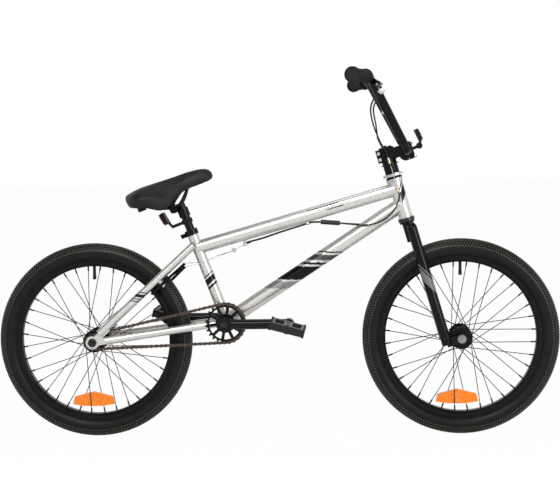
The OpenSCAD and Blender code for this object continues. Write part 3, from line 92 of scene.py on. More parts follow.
class Finish:
    """One procedural material and short ways to add nodes to it."""

    def __init__(self, name, colour, roughness, metallic=0.0):
        self.material = bpy.data.materials.new(name)
        self.material.use_nodes = True
        self.tree = self.material.node_tree
        self.shader = self.tree.nodes["Principled BSDF"]
        self.shader.inputs["Base Color"].default_value = (*colour, 1)
        self.shader.inputs["Roughness"].default_value = roughness
        self.shader.inputs["Metallic"].default_value = metallic
        self.place = self.add("ShaderNodeTexCoord").outputs["Object"]

    def add(self, kind, **values):
        node = self.tree.nodes.new(kind)
        for key, value in values.items():
            setattr(node, key, value)
        return node

    def link(self, source, target):
        self.tree.links.new(source, target)

    def set(self, socket, value):
        self.shader.inputs[socket].default_value = value

    def local(self, at, turn=(0, 0, 0), stretch=(1, 1, 1)):
        """Object coordinates measured from a point, in a turned frame."""
        mapping = self.add("ShaderNodeMapping", vector_type="TEXTURE")
        mapping.inputs["Location"].default_value = at
        mapping.inputs["Rotation"].default_value = turn
        mapping.inputs["Scale"].default_value = stretch
        self.link(self.place, mapping.inputs["Vector"])
        return mapping.outputs["Vector"]

    def parts(self, vector):
        split = self.add("ShaderNodeSeparateXYZ")
        self.link(vector, split.inputs[0])
        return split.outputs

    def noise(self, scale, detail=4.0, vector=None):
        noise = self.add("ShaderNodeTexNoise")
        noise.inputs["Scale"].default_value = scale
        noise.inputs["Detail"].default_value = detail
        self.link(vector or self.place, noise.inputs["Vector"])
        return noise.outputs["Fac"]

    def cells(self, scale, vector=None, feature="F1"):
        cells = self.add("ShaderNodeTexVoronoi", feature=feature)
        cells.inputs["Scale"].default_value = scale
        self.link(vector or self.place, cells.inputs["Vector"])
        return cells.outputs["Distance"]

    def math(self, operation, first, second=0.0, third=0.0):
        node = self.add("ShaderNodeMath", operation=operation)
        for socket, value in zip(node.inputs, (first, second, third)):
            if isinstance(value, (int, float)):
                socket.default_value = value
            else:
                self.link(value, socket)
        return node.outputs[0]

    def ramp(self, factor, stops):
        ramp = self.add("ShaderNodeValToRGB")
        while len(ramp.color_ramp.elements) < len(stops):
            ramp.color_ramp.elements.new(0.5)
        for element, (position, colour) in zip(ramp.color_ramp.elements, stops):
            element.position = position
            element.color = (*colour, 1)
        self.link(factor, ramp.inputs["Fac"])
        return ramp.outputs["Color"]

    def levels(self, factor, low, high):
        """A grey value spread between two numbers."""
        spread = self.add("ShaderNodeMapRange")
        self.link(factor, spread.inputs["Value"])
        spread.inputs["To Min"].default_value = low
        spread.inputs["To Max"].default_value = high
        return spread.outputs["Result"]

    def mix(self, factor, first, second):
        mix = self.add("ShaderNodeMix", data_type="RGBA")
        self.link(factor, mix.inputs["Factor"])
        for socket, value in ((mix.inputs[6], first), (mix.inputs[7], second)):
            if isinstance(value, tuple):
                socket.default_value = (*value, 1)
            else:
                self.link(value, socket)
        return mix.outputs[2]

    def colour(self, source):
        self.link(source, self.shader.inputs["Base Color"])

    def roughness(self, source):
        self.link(source, self.shader.inputs["Roughness"])

    def bump(self, height, depth, strength=1.0):
        bump = self.add("ShaderNodeBump")
        bump.inputs["Strength"].default_value = strength
        bump.inputs["Distance"].default_value = depth
        self.link(height, bump.inputs["Height"])
        self.link(bump.outputs["Normal"], self.shader.inputs["Normal"])


PEARL = (0.74, 0.73, 0.705)
PEARL_SHADE = (0.60, 0.59, 0.57)


def pearl_paint(name):
    """Pale pearl paint: fine flake under a clear coat. Returns the finish and its plain colour."""
    paint = Finish(name, PEARL, 0.3, 0.75)
    paint.set("Coat Weight", 0.12)
    paint.set("Specular IOR Level", 0.3)
    paint.set("Coat Roughness", 0.08)
    flake = paint.ramp(paint.cells(2600), [(0.1, PEARL), (0.75, PEARL_SHADE)])
    paint.roughness(paint.levels(paint.noise(60), 0.24, 0.36))
    paint.bump(paint.noise(700, 2), 0.00003, 0.3)
    return paint, flake


def plain_pearl():
    paint, flake = pearl_paint("frame_pearl")
    paint.colour(flake)
    return paint.material


def band(paint, along, low, high):
    """1 between two distances along a tube, 0 outside."""
    after = paint.math("GREATER_THAN", along, low)
    before = paint.math("LESS_THAN", along, high)
    return paint.math("MULTIPLY", after, before)


def banded_pearl(name, at, turn, slant, bands, ragged, below=1.0):
    """Pearl paint with slanted dark bands across a tube, on its lower side only if below is small."""
    paint, flake = pearl_paint(name)
    local = paint.local(at, (0, turn, 0))
    along, _, across = paint.parts(local)
    tear = paint.levels(paint.noise(90, 5, local), -ragged, ragged)
    skew = paint.math("MULTIPLY_ADD", across, slant, along)
    torn = paint.math("ADD", skew, tear)
    low_side = paint.math("LESS_THAN", across, below)
    colour = flake
    for low, high, tone in bands:
        mask = paint.math("MULTIPLY", band(paint, torn, low, high), low_side)
        colour = paint.mix(mask, colour, (tone, tone, tone))
    paint.colour(colour)
    return paint.material


TOP_LINES = ((0.009, 0.300, 0.385), (0.004, 0.325, 0.415), (-0.001, 0.350, 0.395))
TOP_LINE_WIDTH = 0.003
TOP_LINE_GREY = (0.12, 0.12, 0.12)


def pinstriped_pearl():
    """Top tube: three grey lines of uneven length along its side."""
    paint, flake = pearl_paint("top_tube_lines")
    turn = tube_turn(SEAT_LUG, HEAD_LUG)
    along, _, across = paint.parts(paint.local(SEAT_LUG, (0, turn, 0)))
    colour = flake
    for height, start, stop in TOP_LINES:
        line = band(paint, across, height, height + TOP_LINE_WIDTH)
        run = band(paint, along, start, stop)
        colour = paint.mix(paint.math("MULTIPLY", line, run), colour, TOP_LINE_GREY)
    paint.colour(colour)
    return paint.material


BLACK_SPECULAR = 0.1
GLOSS_SPECULAR = 0.16


def gloss_black(name="gloss_black", tone=0.003, low=0.09, high=0.16, specular=GLOSS_SPECULAR):
    deep = (tone, tone, tone)
    paint = Finish(name, deep, low)
    paint.set("Specular IOR Level", specular)
    cloud = paint.noise(45, 6)
    paint.colour(paint.ramp(cloud, [(0.3, deep), (0.8, (tone * 1.8, tone * 1.75, tone * 1.7))]))
    paint.roughness(paint.levels(cloud, low, high))
    paint.bump(paint.noise(900, 2), 0.00002, 0.3)
    return paint.material


# Slanted flash on the fork legs: its distances up the steering axis from the head

FORK_BLACK = (0.003, 0.003, 0.003)
FORK_SLANT = 1.6
FORK_FLASH = (-0.222, -0.186)
FORK_LINE = (-0.180, -0.176)


def fork_black():
    """Gloss black with a pale grey slanted flash on each leg."""
    paint = Finish("fork_black", FORK_BLACK, 0.1)
    paint.set("Specular IOR Level", GLOSS_SPECULAR)
    across, _, along = paint.parts(paint.local(HEAD, (0, STEER_LEAN, 0)))
    skew = paint.math("MULTIPLY_ADD", across, FORK_SLANT, along)
    grey = band(paint, skew, *FORK_FLASH)
    line = band(paint, skew, *FORK_LINE)
    cloud = paint.noise(45, 6)
    colour = paint.ramp(cloud, [(0.3, FORK_BLACK), (0.8, (0.0055, 0.0055, 0.005))])
    colour = paint.mix(grey, colour, (0.17, 0.17, 0.17))
    paint.colour(paint.mix(line, colour, (0.22, 0.22, 0.22)))
    paint.roughness(paint.levels(cloud, 0.07, 0.13))
    paint.bump(paint.noise(900, 2), 0.00002, 0.3)
    return paint.material


def rubber(name, tone, low, high, grain, depth):
    gum = Finish(name, (tone, tone, tone), 0.7)
    gum.set("Specular IOR Level", BLACK_SPECULAR)
    cloud = gum.noise(35, 6)
    dull = (tone * 0.8, tone * 0.79, tone * 0.76)
    worn = (tone * 1.35, tone * 1.32, tone * 1.25)
    gum.colour(gum.ramp(cloud, [(0.25, dull), (0.8, worn)]))
    gum.roughness(gum.levels(cloud, low, high))
    gum.bump(gum.noise(grain, 3), depth, 0.6)
    return gum.material


TYRE_SPECULAR = 0.18
# Painted highlight: how deep the tread block tops reach, and the paler brownish colour painted on them
TREAD_TOP_DEPTH = 0.0004
TREAD_TOP_HIGHLIGHT_TONE = (0.075, 0.066, 0.056)


def tyre_rubber(name, axle):
    """Tyre rubber with a soft shine, and a painted highlight: the tops of the tread blocks are coloured
    paler and brownish.
    """
    gum = Finish(name, (0.008, 0.008, 0.008), 0.45)
    gum.set("Specular IOR Level", TYRE_SPECULAR)
    x, y, z = gum.parts(gum.local(axle))
    ring = gum.math("SQRT", gum.math("MULTIPLY_ADD", x, x, gum.math("MULTIPLY", z, z)))
    out = gum.math("SUBTRACT", ring, TYRE_SECTION_AT)
    section = gum.math("SQRT", gum.math("MULTIPLY_ADD", out, out, gum.math("MULTIPLY", y, y)))
    tops = gum.math("GREATER_THAN", section, TYRE_SECTION_R - TREAD_TOP_DEPTH)
    cloud = gum.noise(35, 6)
    colour = gum.ramp(cloud, [(0.25, (0.004, 0.004, 0.004)), (0.8, (0.008, 0.0078, 0.0074))])
    # Painted highlight: the tread block tops take a paler brownish colour in place of the rubber's shine
    gum.colour(gum.mix(tops, colour, TREAD_TOP_HIGHLIGHT_TONE))
    gum.roughness(gum.levels(cloud, 0.33, 0.45))
    gum.bump(gum.noise(900, 3), 0.00008, 0.4)
    return gum.material


PEDAL_RIBS = 55


def pedal_nylon():
    """Dark nylon with fine moulded ribs along the pedal's sides."""
    nylon = Finish("pedal_nylon", (0.02, 0.018, 0.016), 0.5)
    nylon.set("Specular IOR Level", 0.2)
    ribs = nylon.add("ShaderNodeTexWave", bands_direction="X")
    ribs.inputs["Scale"].default_value = PEDAL_RIBS
    ribs.inputs["Distortion"].default_value = 0.3
    nylon.link(nylon.local(CRANK_CENTRE, (0, PEDAL_TILT, 0)), ribs.inputs["Vector"])
    rib = ribs.outputs["Fac"]
    nylon.colour(nylon.ramp(rib, [(0.2, (0.010, 0.009, 0.008)), (0.8, (0.022, 0.020, 0.018))]))
    nylon.roughness(nylon.levels(nylon.noise(120), 0.42, 0.58))
    nylon.bump(rib, 0.0006, 0.6)
    return nylon.material


def cup_metal():
    """Headset cups: bright above, black below."""
    cup = Finish("cup_metal", (0.6, 0.6, 0.6), 0.3)
    up = cup.parts(cup.local(HEAD, (0, STEER_LEAN, 0)))[2]
    upper = cup.math("GREATER_THAN", up, 0)
    cloud = cup.noise(120)
    bright = cup.ramp(cloud, [(0.3, (0.5, 0.5, 0.49)), (0.7, (0.66, 0.66, 0.65))])
    cup.colour(cup.mix(upper, (0.007, 0.007, 0.007), bright))
    cup.link(upper, cup.shader.inputs["Metallic"])
    cup.roughness(cup.levels(cloud, 0.2, 0.34))
    cup.bump(cloud, 0.00002, 0.3)
    return cup.material


def saddle_cover():
    """Black vinyl with a fine pebbled grain."""
    cover = Finish("saddle_cover", (0.012, 0.012, 0.0115), 0.5)
    cover.set("Specular IOR Level", 0.25)
    cover.set("Sheen Weight", 0.02)
    cover.set("Sheen Roughness", 0.4)
    wear = cover.noise(18, 5)
    cover.colour(cover.ramp(wear, [(0.3, (0.007, 0.0066, 0.006)), (0.75, (0.012, 0.0112, 0.010))]))
    grain = cover.cells(950, feature="SMOOTH_F1")
    cover.roughness(cover.levels(wear, 0.42, 0.58))
    cover.bump(cover.math("ADD", grain, cover.noise(2200, 2)), 0.00012, 0.55)
    return cover.material


def brushed(name, colour, low, high, metallic=1.0, stretch=(1, 30, 1)):
    """Brushed metal: fine lines drawn out across the piece."""
    metal = Finish(name, colour, 0.3, metallic)
    lines = metal.noise(220, 4, metal.local((0, 0, 0), stretch=stretch))
    shade = tuple(0.8 * c for c in colour)
    metal.colour(metal.ramp(lines, [(0.3, shade), (0.7, colour)]))
    metal.roughness(metal.levels(lines, low, high))
    metal.bump(lines, 0.00002, 0.4)
    return metal.material


def chain_steel():
    """Brown-black chain steel with oil in its hollows."""
    metal = Finish("chain_steel", (0.08, 0.06, 0.05), 0.4, 0.85)
    oil = metal.noise(160, 5)
    metal.colour(metal.ramp(oil, [(0.3, (0.035, 0.028, 0.024)), (0.7, (0.13, 0.1, 0.085))]))
    metal.roughness(metal.levels(oil, 0.28, 0.55))
    metal.bump(oil, 0.00004, 0.5)
    return metal.material


def prism_plastic(name, colour, shade, cell):
    """Moulded reflector: a grid of small prisms under a smooth face."""
    lens = Finish(name, colour, 0.14)
    lens.set("Specular IOR Level", 0.3)
    prism = lens.cells(cell, feature="DISTANCE_TO_EDGE")
    lens.colour(lens.ramp(prism, [(0.02, shade), (0.2, colour)]))
    lens.bump(prism, 0.0004, 0.5)
    return lens.material


def near(finish, at, reach):
    """1 within a distance of a point or of its twin on the other side, 0 beyond."""
    fold = finish.add("ShaderNodeVectorMath", operation="ABSOLUTE")
    finish.link(finish.local((0, 0, 0)), fold.inputs[0])
    gap = finish.add("ShaderNodeVectorMath", operation="DISTANCE")
    finish.link(fold.outputs["Vector"], gap.inputs[0])
    gap.inputs[1].default_value = (abs(at[0]), abs(at[1]), abs(at[2]))
    return finish.math("LESS_THAN", gap.outputs["Value"], reach)


BRASS = (0.62, 0.52, 0.34)
WIRE = (0.5, 0.5, 0.5)


def cable_cover(name, brass_at, brass_reach, wire_test):
    """Black housing with brass end pieces and bare wire beyond them."""
    cover = Finish(name, (0.008, 0.008, 0.008), 0.35)
    cover.set("Specular IOR Level", 0.35)
    cloud = cover.noise(120, 4)
    black = cover.ramp(cloud, [(0.3, (0.006, 0.006, 0.006)), (0.8, (0.012, 0.012, 0.0115))])
    brass = near(cover, brass_at, brass_reach)
    wire = wire_test(cover)
    bare = cover.math("MAXIMUM", brass, wire)
    colour = cover.mix(wire, black, WIRE)
    cover.colour(cover.mix(brass, colour, BRASS))
    cover.link(bare, cover.shader.inputs["Metallic"])
    cover.roughness(cover.levels(cloud, 0.28, 0.42))
    cover.bump(cover.noise(800, 2), 0.00003, 0.4)
    return cover.material


def steer_point(ahead, side, up):
    return HEAD + STEER_AHEAD * ahead + Vector((0, side, 0)) + STEER_UP * up


# Heights up the steering axis where bare wire starts, and the cable stop's place along the bike

CABLE_SIDE = 0.029
CABLE_PLATE_UP = 0.0935
EAR_TOP_UP = 0.037
STOP_BACK = -0.0835
UPPER_END_UP = 0.1045
UPPER_END_REACH = 0.0095
LOWER_END_UP = 0.030
LOWER_END_REACH = 0.0085


def upper_wire(finish):
    """The bare wires run below the cable plate."""
    up = finish.parts(finish.local(HEAD, (0, STEER_LEAN, 0)))[2]
    return finish.math("LESS_THAN", up, CABLE_PLATE_UP)


def lower_wire(finish):
    """Bare wire behind the stop, and above the head tube's ears."""
    place = finish.parts(finish.local((0, 0, 0)))
    behind = finish.math("LESS_THAN", place[0], STOP_BACK)
    up = finish.parts(finish.local(HEAD, (0, STEER_LEAN, 0)))[2]
    above = finish.math("GREATER_THAN", up, EAR_TOP_UP)
    return finish.math("MAXIMUM", behind, above)


def give(material, *names):
    for name in names:
        slots = nodes[name].data.materials
        slots.clear()
        slots.append(material)


def tube_turn(low, high):
    """Turn about Y that lays X along a tube."""
    return -math.atan2(high[2] - low[2], high[0] - low[0])


SEAT_LUG = (-0.2025, 0, 0.493)
HEAD_LUG = (0.3163, 0, 0.637)
DOWN_LOW = (-0.130335, 0, 0.3)
DOWN_HIGH = (0.335, 0, 0.58)
STAY_LOW = (-0.456, 0, 0.278)
STAY_HIGH = (-0.215, 0, 0.497)


# Bands along a tube: where each starts and stops, and its grey

HEAD_BANDS = [(-0.014, 0.012, 0.006), (0.017, 0.022, 0.006)]
DOWN_BANDS = [
    (0.165, 0.200, 0.30),
    (0.208, 0.272, 0.006),
    (0.282, 0.292, 0.006),
    (0.304, 0.330, 0.08),
    (0.340, 0.346, 0.006),
]
SEAT_BANDS = [(0.098, 0.104, 0.01), (0.109, 0.124, 0.01), (0.129, 0.132, 0.01)]
STAY_BANDS = [(0.122, 0.125, 0.02), (0.130, 0.133, 0.02), (0.138, 0.148, 0.02), (0.153, 0.156, 0.02)]


def paint_bands(name, low, high, slant, bands, ragged, below=1.0):
    turn = tube_turn(low, high)
    give(banded_pearl(name + "_bands", tuple(low), turn, slant, bands, ragged, below), name)


def paint_nodes():
    pearl = plain_pearl()
    give(pearl, "bottom_bracket_shell", "chain_stays", "rear_dropouts")
    give(pinstriped_pearl(), "top_tube")
    paint_bands("head_tube", HEAD, HEAD + STEER_UP, 1.6, HEAD_BANDS, 0.0, -0.003)
    paint_bands("down_tube", DOWN_LOW, DOWN_HIGH, 1.5, DOWN_BANDS, 0.006)
    paint_bands("seat_tube", DOWN_LOW, POST_TOP, 0.4, SEAT_BANDS, 0.0)
    paint_bands("seat_stays", STAY_LOW, STAY_HIGH, 0.8, STAY_BANDS, 0.0)
    black = gloss_black()
    give(black, "seat_clamp", "seat_post", "saddle_clamp", "saddle_rails", "steerer_tube",
         "stem", "stem_faceplate", "top_cap", "handlebar", "crossbar", "lever_bracket",
         "crank_arms", "chainring", "right_brake_arm", "left_brake_arm")
    give(fork_black(), "fork_legs")
    give(cup_metal(), "headset_cups")
    satin = gloss_black("satin_black", 0.005, 0.22, 0.32, 0.12)
    give(satin, "headset_spacers", "front_rim", "rear_rim", "front_hub", "rear_hub",
         "front_spokes", "rear_spokes")
    give(rubber("moulded_black", 0.010, 0.4, 0.55, 600, 0.00005), "saddle_base", "front_reflector",
         "rear_reflector")
    give(pedal_nylon(), "right_pedal", "left_pedal")
    give(rubber("grip_rubber", 0.015, 0.6, 0.75, 700, 0.00008), "grips")
    give(rubber("tube_rubber", 0.016, 0.5, 0.65, 500, 0.00005), "front_inner_tube", "rear_inner_tube")
    steel = brushed("bright_steel", (0.66, 0.66, 0.67), 0.2, 0.34)
    give(steel, "stem_bolts", "brake_bosses", "cable_stops", "straddle_hanger")
    give(brushed("silver_alloy", (0.72, 0.72, 0.73), 0.24, 0.38), "gyro_upper_plate", "gyro_lower_plate",
         "brake_lever")
    give(brushed("zinc_plate", (0.36, 0.36, 0.36), 0.28, 0.42), "front_axle")
    dark = brushed("dark_steel", (0.17, 0.165, 0.16), 0.3, 0.45)
    give(dark, "bearings", "rear_cog")
    give(brushed("black_oxide", (0.045, 0.044, 0.043), 0.3, 0.45), "crank_spindle", "rear_axle")
    give(chain_steel(), "chain")
    orange = prism_plastic("orange_prism", (1.0, 0.28, 0.025), (0.92, 0.19, 0.01), 260)
    give(orange, "front_wheel_reflector", "rear_wheel_reflector")
    upper_end = steer_point(0, CABLE_SIDE, UPPER_END_UP)
    lower_end = steer_point(0, CABLE_SIDE, LOWER_END_UP)
    upper_cover = cable_cover("upper_cable_cover", upper_end, UPPER_END_REACH, upper_wire)
    give(upper_cover, "upper_brake_cable")
    lower_cover = cable_cover("lower_cable_cover", lower_end, LOWER_END_REACH, lower_wire)
    give(lower_cover, "lower_brake_cable")


# New pieces

def deselect():
    if bpy.context.mode != "OBJECT":
        bpy.ops.object.mode_set(mode="OBJECT")
    bpy.ops.object.select_all(action="DESELECT")


def pick(piece):
    deselect()
    piece.select_set(True)
    bpy.context.view_layer.objects.active = piece


def settle(piece, name, material, body, angle=35):
    """Puts a finished piece's place into its mesh and hands it to its body."""
    pick(piece)
    bpy.ops.object.transform_apply(location=True, rotation=True, scale=True)
    bpy.ops.object.mode_set(mode="EDIT")
    bpy.ops.mesh.select_all(action="SELECT")
    bpy.ops.mesh.normals_make_consistent(inside=False)
    bpy.ops.object.mode_set(mode="OBJECT")
    bpy.ops.object.shade_smooth_by_angle(angle=math.radians(angle))
    piece.name = name
    piece.data.name = name
    piece.data.materials.clear()
    piece.data.materials.append(material)
    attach(piece, body)
    return piece


def apply_modifiers(piece):
    pick(piece)
    for modifier in list(piece.modifiers):
        bpy.ops.object.modifier_apply(modifier=modifier.name)


def join(pieces):
    deselect()
    for piece in pieces:
        piece.select_set(True)
    bpy.context.view_layer.objects.active = pieces[0]
    bpy.ops.object.join()
    return pieces[0]


def copy_of(piece, move=None):
    twin = piece.copy()
    twin.data = piece.data.copy()
    bpy.context.scene.collection.objects.link(twin)
    if move is not None:
        twin.data.transform(move)
    return twin


def select_faces(piece, test):
    """Selects the faces whose middle and normal pass a test, and enters edit mode on faces."""
    pick(piece)
    bpy.ops.object.mode_set(mode="EDIT")
    bpy.ops.mesh.select_mode(type="FACE")
    bpy.ops.mesh.select_all(action="DESELECT")
    bpy.ops.object.mode_set(mode="OBJECT")
    for face in piece.data.polygons:
        face.select = test(face.center, face.normal)
    bpy.ops.object.mode_set(mode="EDIT")


TREAD_HEIGHT = 0.0013
TREAD_STEPS = 220
TREAD_ROWS = (0, 18, 36, 54, 72)
TREAD_BLOCK = (0.0036, 0.0056)
TREAD_TAPER = (0.86, 0.75, 1)
TYRE_SEGMENTS = 160
SECTION_SEGMENTS = 48
SIDEWALL_LINE = 0.2165
SIDEWALL_HALF_WIDTH = 0.0013
SIDEWALL_RISE = 0.0008


def tread_block(tilt):
    """One small tread block on the tyre's crown, turned round the section by tilt degrees."""
    deselect()
    bpy.ops.mesh.primitive_cube_add(size=1)
    block = bpy.context.object
    block.scale = (*TREAD_BLOCK, 2 * TREAD_HEIGHT)
    bpy.ops.object.transform_apply(location=False, rotation=False, scale=True)
    select_faces(block, lambda middle, normal: normal.z > 0.9)
    bpy.ops.transform.resize(value=TREAD_TAPER)
    bpy.ops.object.mode_set(mode="OBJECT")
    crown = TYRE_SECTION_R - TREAD_HEIGHT
    lift = Matrix.Translation((0, 0, crown))
    roll = Matrix.Rotation(math.radians(tilt), 4, "X")
    up = Matrix.Translation((0, 0, TYRE_SECTION_AT))
    block.data.transform(up @ roll @ lift)
    return block


def tread_row(tilt, offset):
    row = tread_block(tilt)
    step = 2 * math.pi / TREAD_STEPS
    row.data.transform(Matrix.Rotation(offset * step, 4, "Y"))
    guide = bpy.data.objects.new("tread_step", None)
    bpy.context.scene.collection.objects.link(guide)
    guide.matrix_world = Matrix.Rotation(step, 4, "Y")
    array = row.modifiers.new("around", "ARRAY")
    array.use_relative_offset = False
    array.use_object_offset = True
    array.offset_object = guide
    array.count = TREAD_STEPS
    apply_modifiers(row)
    bpy.data.objects.remove(guide)
    return row


def build_tyre():
    """A tyre round the origin: casing with a sidewall line, and staggered rows of tread blocks."""
    deselect()
    bpy.ops.mesh.primitive_torus_add(
        major_segments=TYRE_SEGMENTS, minor_segments=SECTION_SEGMENTS, major_radius=TYRE_SECTION_AT,
        minor_radius=TYRE_SECTION_R - TREAD_HEIGHT, rotation=(math.pi / 2, 0, 0))
    casing = bpy.context.object
    bpy.ops.object.transform_apply(location=False, rotation=True, scale=False)
    select_faces(casing, lambda middle, normal: math.hypot(middle.x, middle.z) < RIM_EDGE)
    bpy.ops.mesh.delete(type="FACE")
    bpy.ops.object.mode_set(mode="OBJECT")

    def on_line(middle, normal):
        return abs(math.hypot(middle.x, middle.z) - SIDEWALL_LINE) < SIDEWALL_HALF_WIDTH

    select_faces(casing, on_line)
    bpy.ops.mesh.extrude_region_shrink_fatten(TRANSFORM_OT_shrink_fatten={"value": SIDEWALL_RISE})
    bpy.ops.object.mode_set(mode="OBJECT")
    rows = []
    for index, tilt in enumerate(TREAD_ROWS):
        for side in ((1, -1) if tilt else (1,)):
            rows.append(tread_row(side * tilt, 0.5 * (index % 2)))
    return join([casing] + rows)


def make_tyres():
    rear = build_tyre()
    front = copy_of(rear)
    for piece, at, side in ((front, FRONT_AXLE, "front"), (rear, REAR_AXLE, "rear")):
        piece.location = at
        gum = tyre_rubber(side + "_tyre_rubber", at)
        settle(piece, side + "_treaded_tyre", gum, side + "_wheel", 40)
        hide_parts(side + "_tyre")


PAD_MERGE = 0.00002
PAD_VOXEL = 0.0032
PAD_SHRINK = 0.0006
PAD_PRESSURE = 4.0
PAD_STEPS = 20
PAD_CAP = 0.003


def swell(pad):
    """Blows the pad up a little with cloth, and holds each point within a few millimetres of its start."""
    rest = [vertex.co.copy() for vertex in pad.data.vertices]
    cloth = pad.modifiers.new("cover", "CLOTH")
    cloth.settings.use_pressure = True
    cloth.settings.uniform_pressure_force = PAD_PRESSURE
    cloth.settings.effector_weights.gravity = 0
    cloth.settings.quality = 5
    scene = bpy.context.scene
    for step in range(1, PAD_STEPS + 1):
        scene.frame_set(step)
    apply_modifiers(pad)
    scene.frame_set(1)
    for vertex, start in zip(pad.data.vertices, rest):
        move = vertex.co - start
        if move.length > PAD_CAP:
            vertex.co = start + move.normalized() * PAD_CAP


def make_saddle():
    source = nodes["saddle_pad"]
    pad = bpy.data.objects.new("saddle_cover", source.data.copy())
    bpy.context.scene.collection.objects.link(pad)
    pick(pad)
    bpy.ops.object.mode_set(mode="EDIT")
    bpy.ops.mesh.select_all(action="SELECT")
    bpy.ops.mesh.remove_doubles(threshold=PAD_MERGE)
    bpy.ops.object.mode_set(mode="OBJECT")
    remesh = pad.modifiers.new("even", "REMESH")
    remesh.mode = "VOXEL"
    remesh.voxel_size = PAD_VOXEL
    smooth = pad.modifiers.new("soften", "SMOOTH")
    smooth.factor = 0.5
    smooth.iterations = 2
    shrink = pad.modifiers.new("under_size", "DISPLACE")
    shrink.strength = -PAD_SHRINK
    shrink.mid_level = 0
    apply_modifiers(pad)
    swell(pad)
    even = pad.modifiers.new("even_out", "SMOOTH")
    even.factor = 0.5
    even.iterations = 3
    finer = pad.modifiers.new("finer", "SUBSURF")
    finer.levels = 1
    finer.render_levels = 1
    apply_modifiers(pad)
    settle(pad, "saddle_cover", saddle_cover(), "seat", 60)
    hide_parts("saddle_pad")


def framed_block(size, wall, depth, rounding):
    """A block with rounded edges and a sunken face on +X, as a moulded lens housing has."""
    deselect()
    bpy.ops.mesh.primitive_cube_add(size=1)
    block = bpy.context.object
    block.scale = size
    bpy.ops.object.transform_apply(location=False, rotation=False, scale=True)
    select_faces(block, lambda middle, normal: normal.x > 0.9)
    bpy.ops.mesh.inset(thickness=wall, depth=0)
    bpy.ops.mesh.inset(thickness=0.0004, depth=depth)
    bpy.ops.object.mode_set(mode="OBJECT")
    bevel = block.modifiers.new("edges", "BEVEL")
    bevel.width = rounding
    bevel.segments = 2
    bevel.limit_method = "ANGLE"
    apply_modifiers(block)
    return block


FRONT_PLATE_AT = BAR_CLAMP + Vector((0.0295, 0, 0.041))
FRONT_PLATE_LEAN = math.radians(25)
FRONT_PLATE = (0.010, 0.068, 0.030)
REAR_PLATE_AT = POST_TOP + Vector((-0.046, 0, -0.027))
REAR_PLATE_LEAN = math.radians(30)
REAR_PLATE = (0.011, 0.042, 0.032)
LENS_T = 0.003
LENS_MARGIN = 0.006
LENS_WALL = 0.0025
LENS_SINK = 0.0006
LENS_ROUNDING = 0.0006
LENS_SEAT = 0.0008


def reflector_lens(plate_at, lean, plate, facing):
    """A prism lens let into a reflector's face; facing is 1 ahead and -1 behind."""
    size = (LENS_T, plate[1] - LENS_MARGIN, plate[2] - LENS_MARGIN)
    lens = framed_block(size, LENS_WALL, LENS_SINK, LENS_ROUNDING)
    half_turn = Matrix.Rotation(0 if facing > 0 else math.pi, 4, "Z")
    out = Matrix.Translation((facing * (plate[0] / 2 + LENS_T / 2 - LENS_SEAT), 0, 0))
    lens.matrix_world = Matrix.Translation(plate_at) @ Matrix.Rotation(-lean, 4, "Y") @ out @ half_turn
    return lens


def make_reflectors():
    clear = prism_plastic("clear_prism", (0.8, 0.82, 0.84), (0.5, 0.52, 0.55), 300)
    red = prism_plastic("red_prism", (0.55, 0.012, 0.01), (0.3, 0.005, 0.004), 300)
    front = reflector_lens(FRONT_PLATE_AT, FRONT_PLATE_LEAN, FRONT_PLATE, 1)
    settle(front, "front_lens", clear, "steering")
    rear = reflector_lens(REAR_PLATE_AT, REAR_PLATE_LEAN, REAR_PLATE, -1)
    settle(rear, "rear_lens", red, "seat")


CAGE_T = 0.0012
CAGE_RAIL = 0.0105
CAGE_MARGIN = 0.002
CAGE_EDGE = 0.0003


def pedal_cage():
    """A thin cage plate with two windows, flat on the XY plane, x fore and aft and y along the axle."""
    deselect()
    bpy.ops.mesh.primitive_grid_add(x_subdivisions=2, y_subdivisions=1, size=1)
    cage = bpy.context.object
    cage.scale = (PEDAL_LENGTH - CAGE_MARGIN, PEDAL_WIDTH - CAGE_MARGIN, 1)
    bpy.ops.object.transform_apply(location=False, rotation=False, scale=True)
    select_faces(cage, lambda middle, normal: True)
    bpy.ops.mesh.inset(thickness=CAGE_RAIL, use_individual=True)
    bpy.ops.mesh.delete(type="FACE")
    bpy.ops.object.mode_set(mode="OBJECT")
    solid = cage.modifiers.new("thickness", "SOLIDIFY")
    solid.thickness = CAGE_T
    solid.offset = 0
    bevel = cage.modifiers.new("edges", "BEVEL")
    bevel.width = CAGE_EDGE
    bevel.segments = 1
    apply_modifiers(cage)
    return cage


def make_pedal_cages():
    # Partly painted highlight: the plates frame the pedals' windows, but their metal grey, paler than the
    # nylon, stands in for the shine on the pedals' tops
    cage_highlight_metal = brushed("cage_alloy_painted_highlight", (0.12, 0.115, 0.11), 0.45, 0.6, 0.5)
    for side, name in ((-1, "right"), (1, "left")):
        middle = CRANK_CENTRE + Vector((-side * CRANK_LENGTH, side * (PEDAL_INNER + PEDAL_WIDTH / 2), 0))
        tilt = Matrix.Rotation(PEDAL_TILT, 4, "Y")
        plates = []
        for up in (1, -1):
            plate = pedal_cage()
            out = Matrix.Translation((0, 0, up * (PEDAL_THICKNESS / 2 + CAGE_T / 2)))
            plate.data.transform(Matrix.Translation(middle) @ tilt @ out)
            plates.append(plate)
        settle(join(plates), name + "_pedal_cage", cage_highlight_metal, name + "_pedal", 30)


GRIP_END = BAR_CLAMP + Vector((-0.135, -0.355, 0.182))
GRIP_CORNER = BAR_CLAMP + Vector((-0.093, -0.188, 0.183))
GRIP_CAP = 0.003
PLUG_R = 0.0165
PLUG_T = 0.002
PLUG_STANDS_OUT = 0.0004
PLUG_RINGS = ((0.002, 0), (0.0006, -0.0008), (0.006, 0), (0.0008, 0.0006))


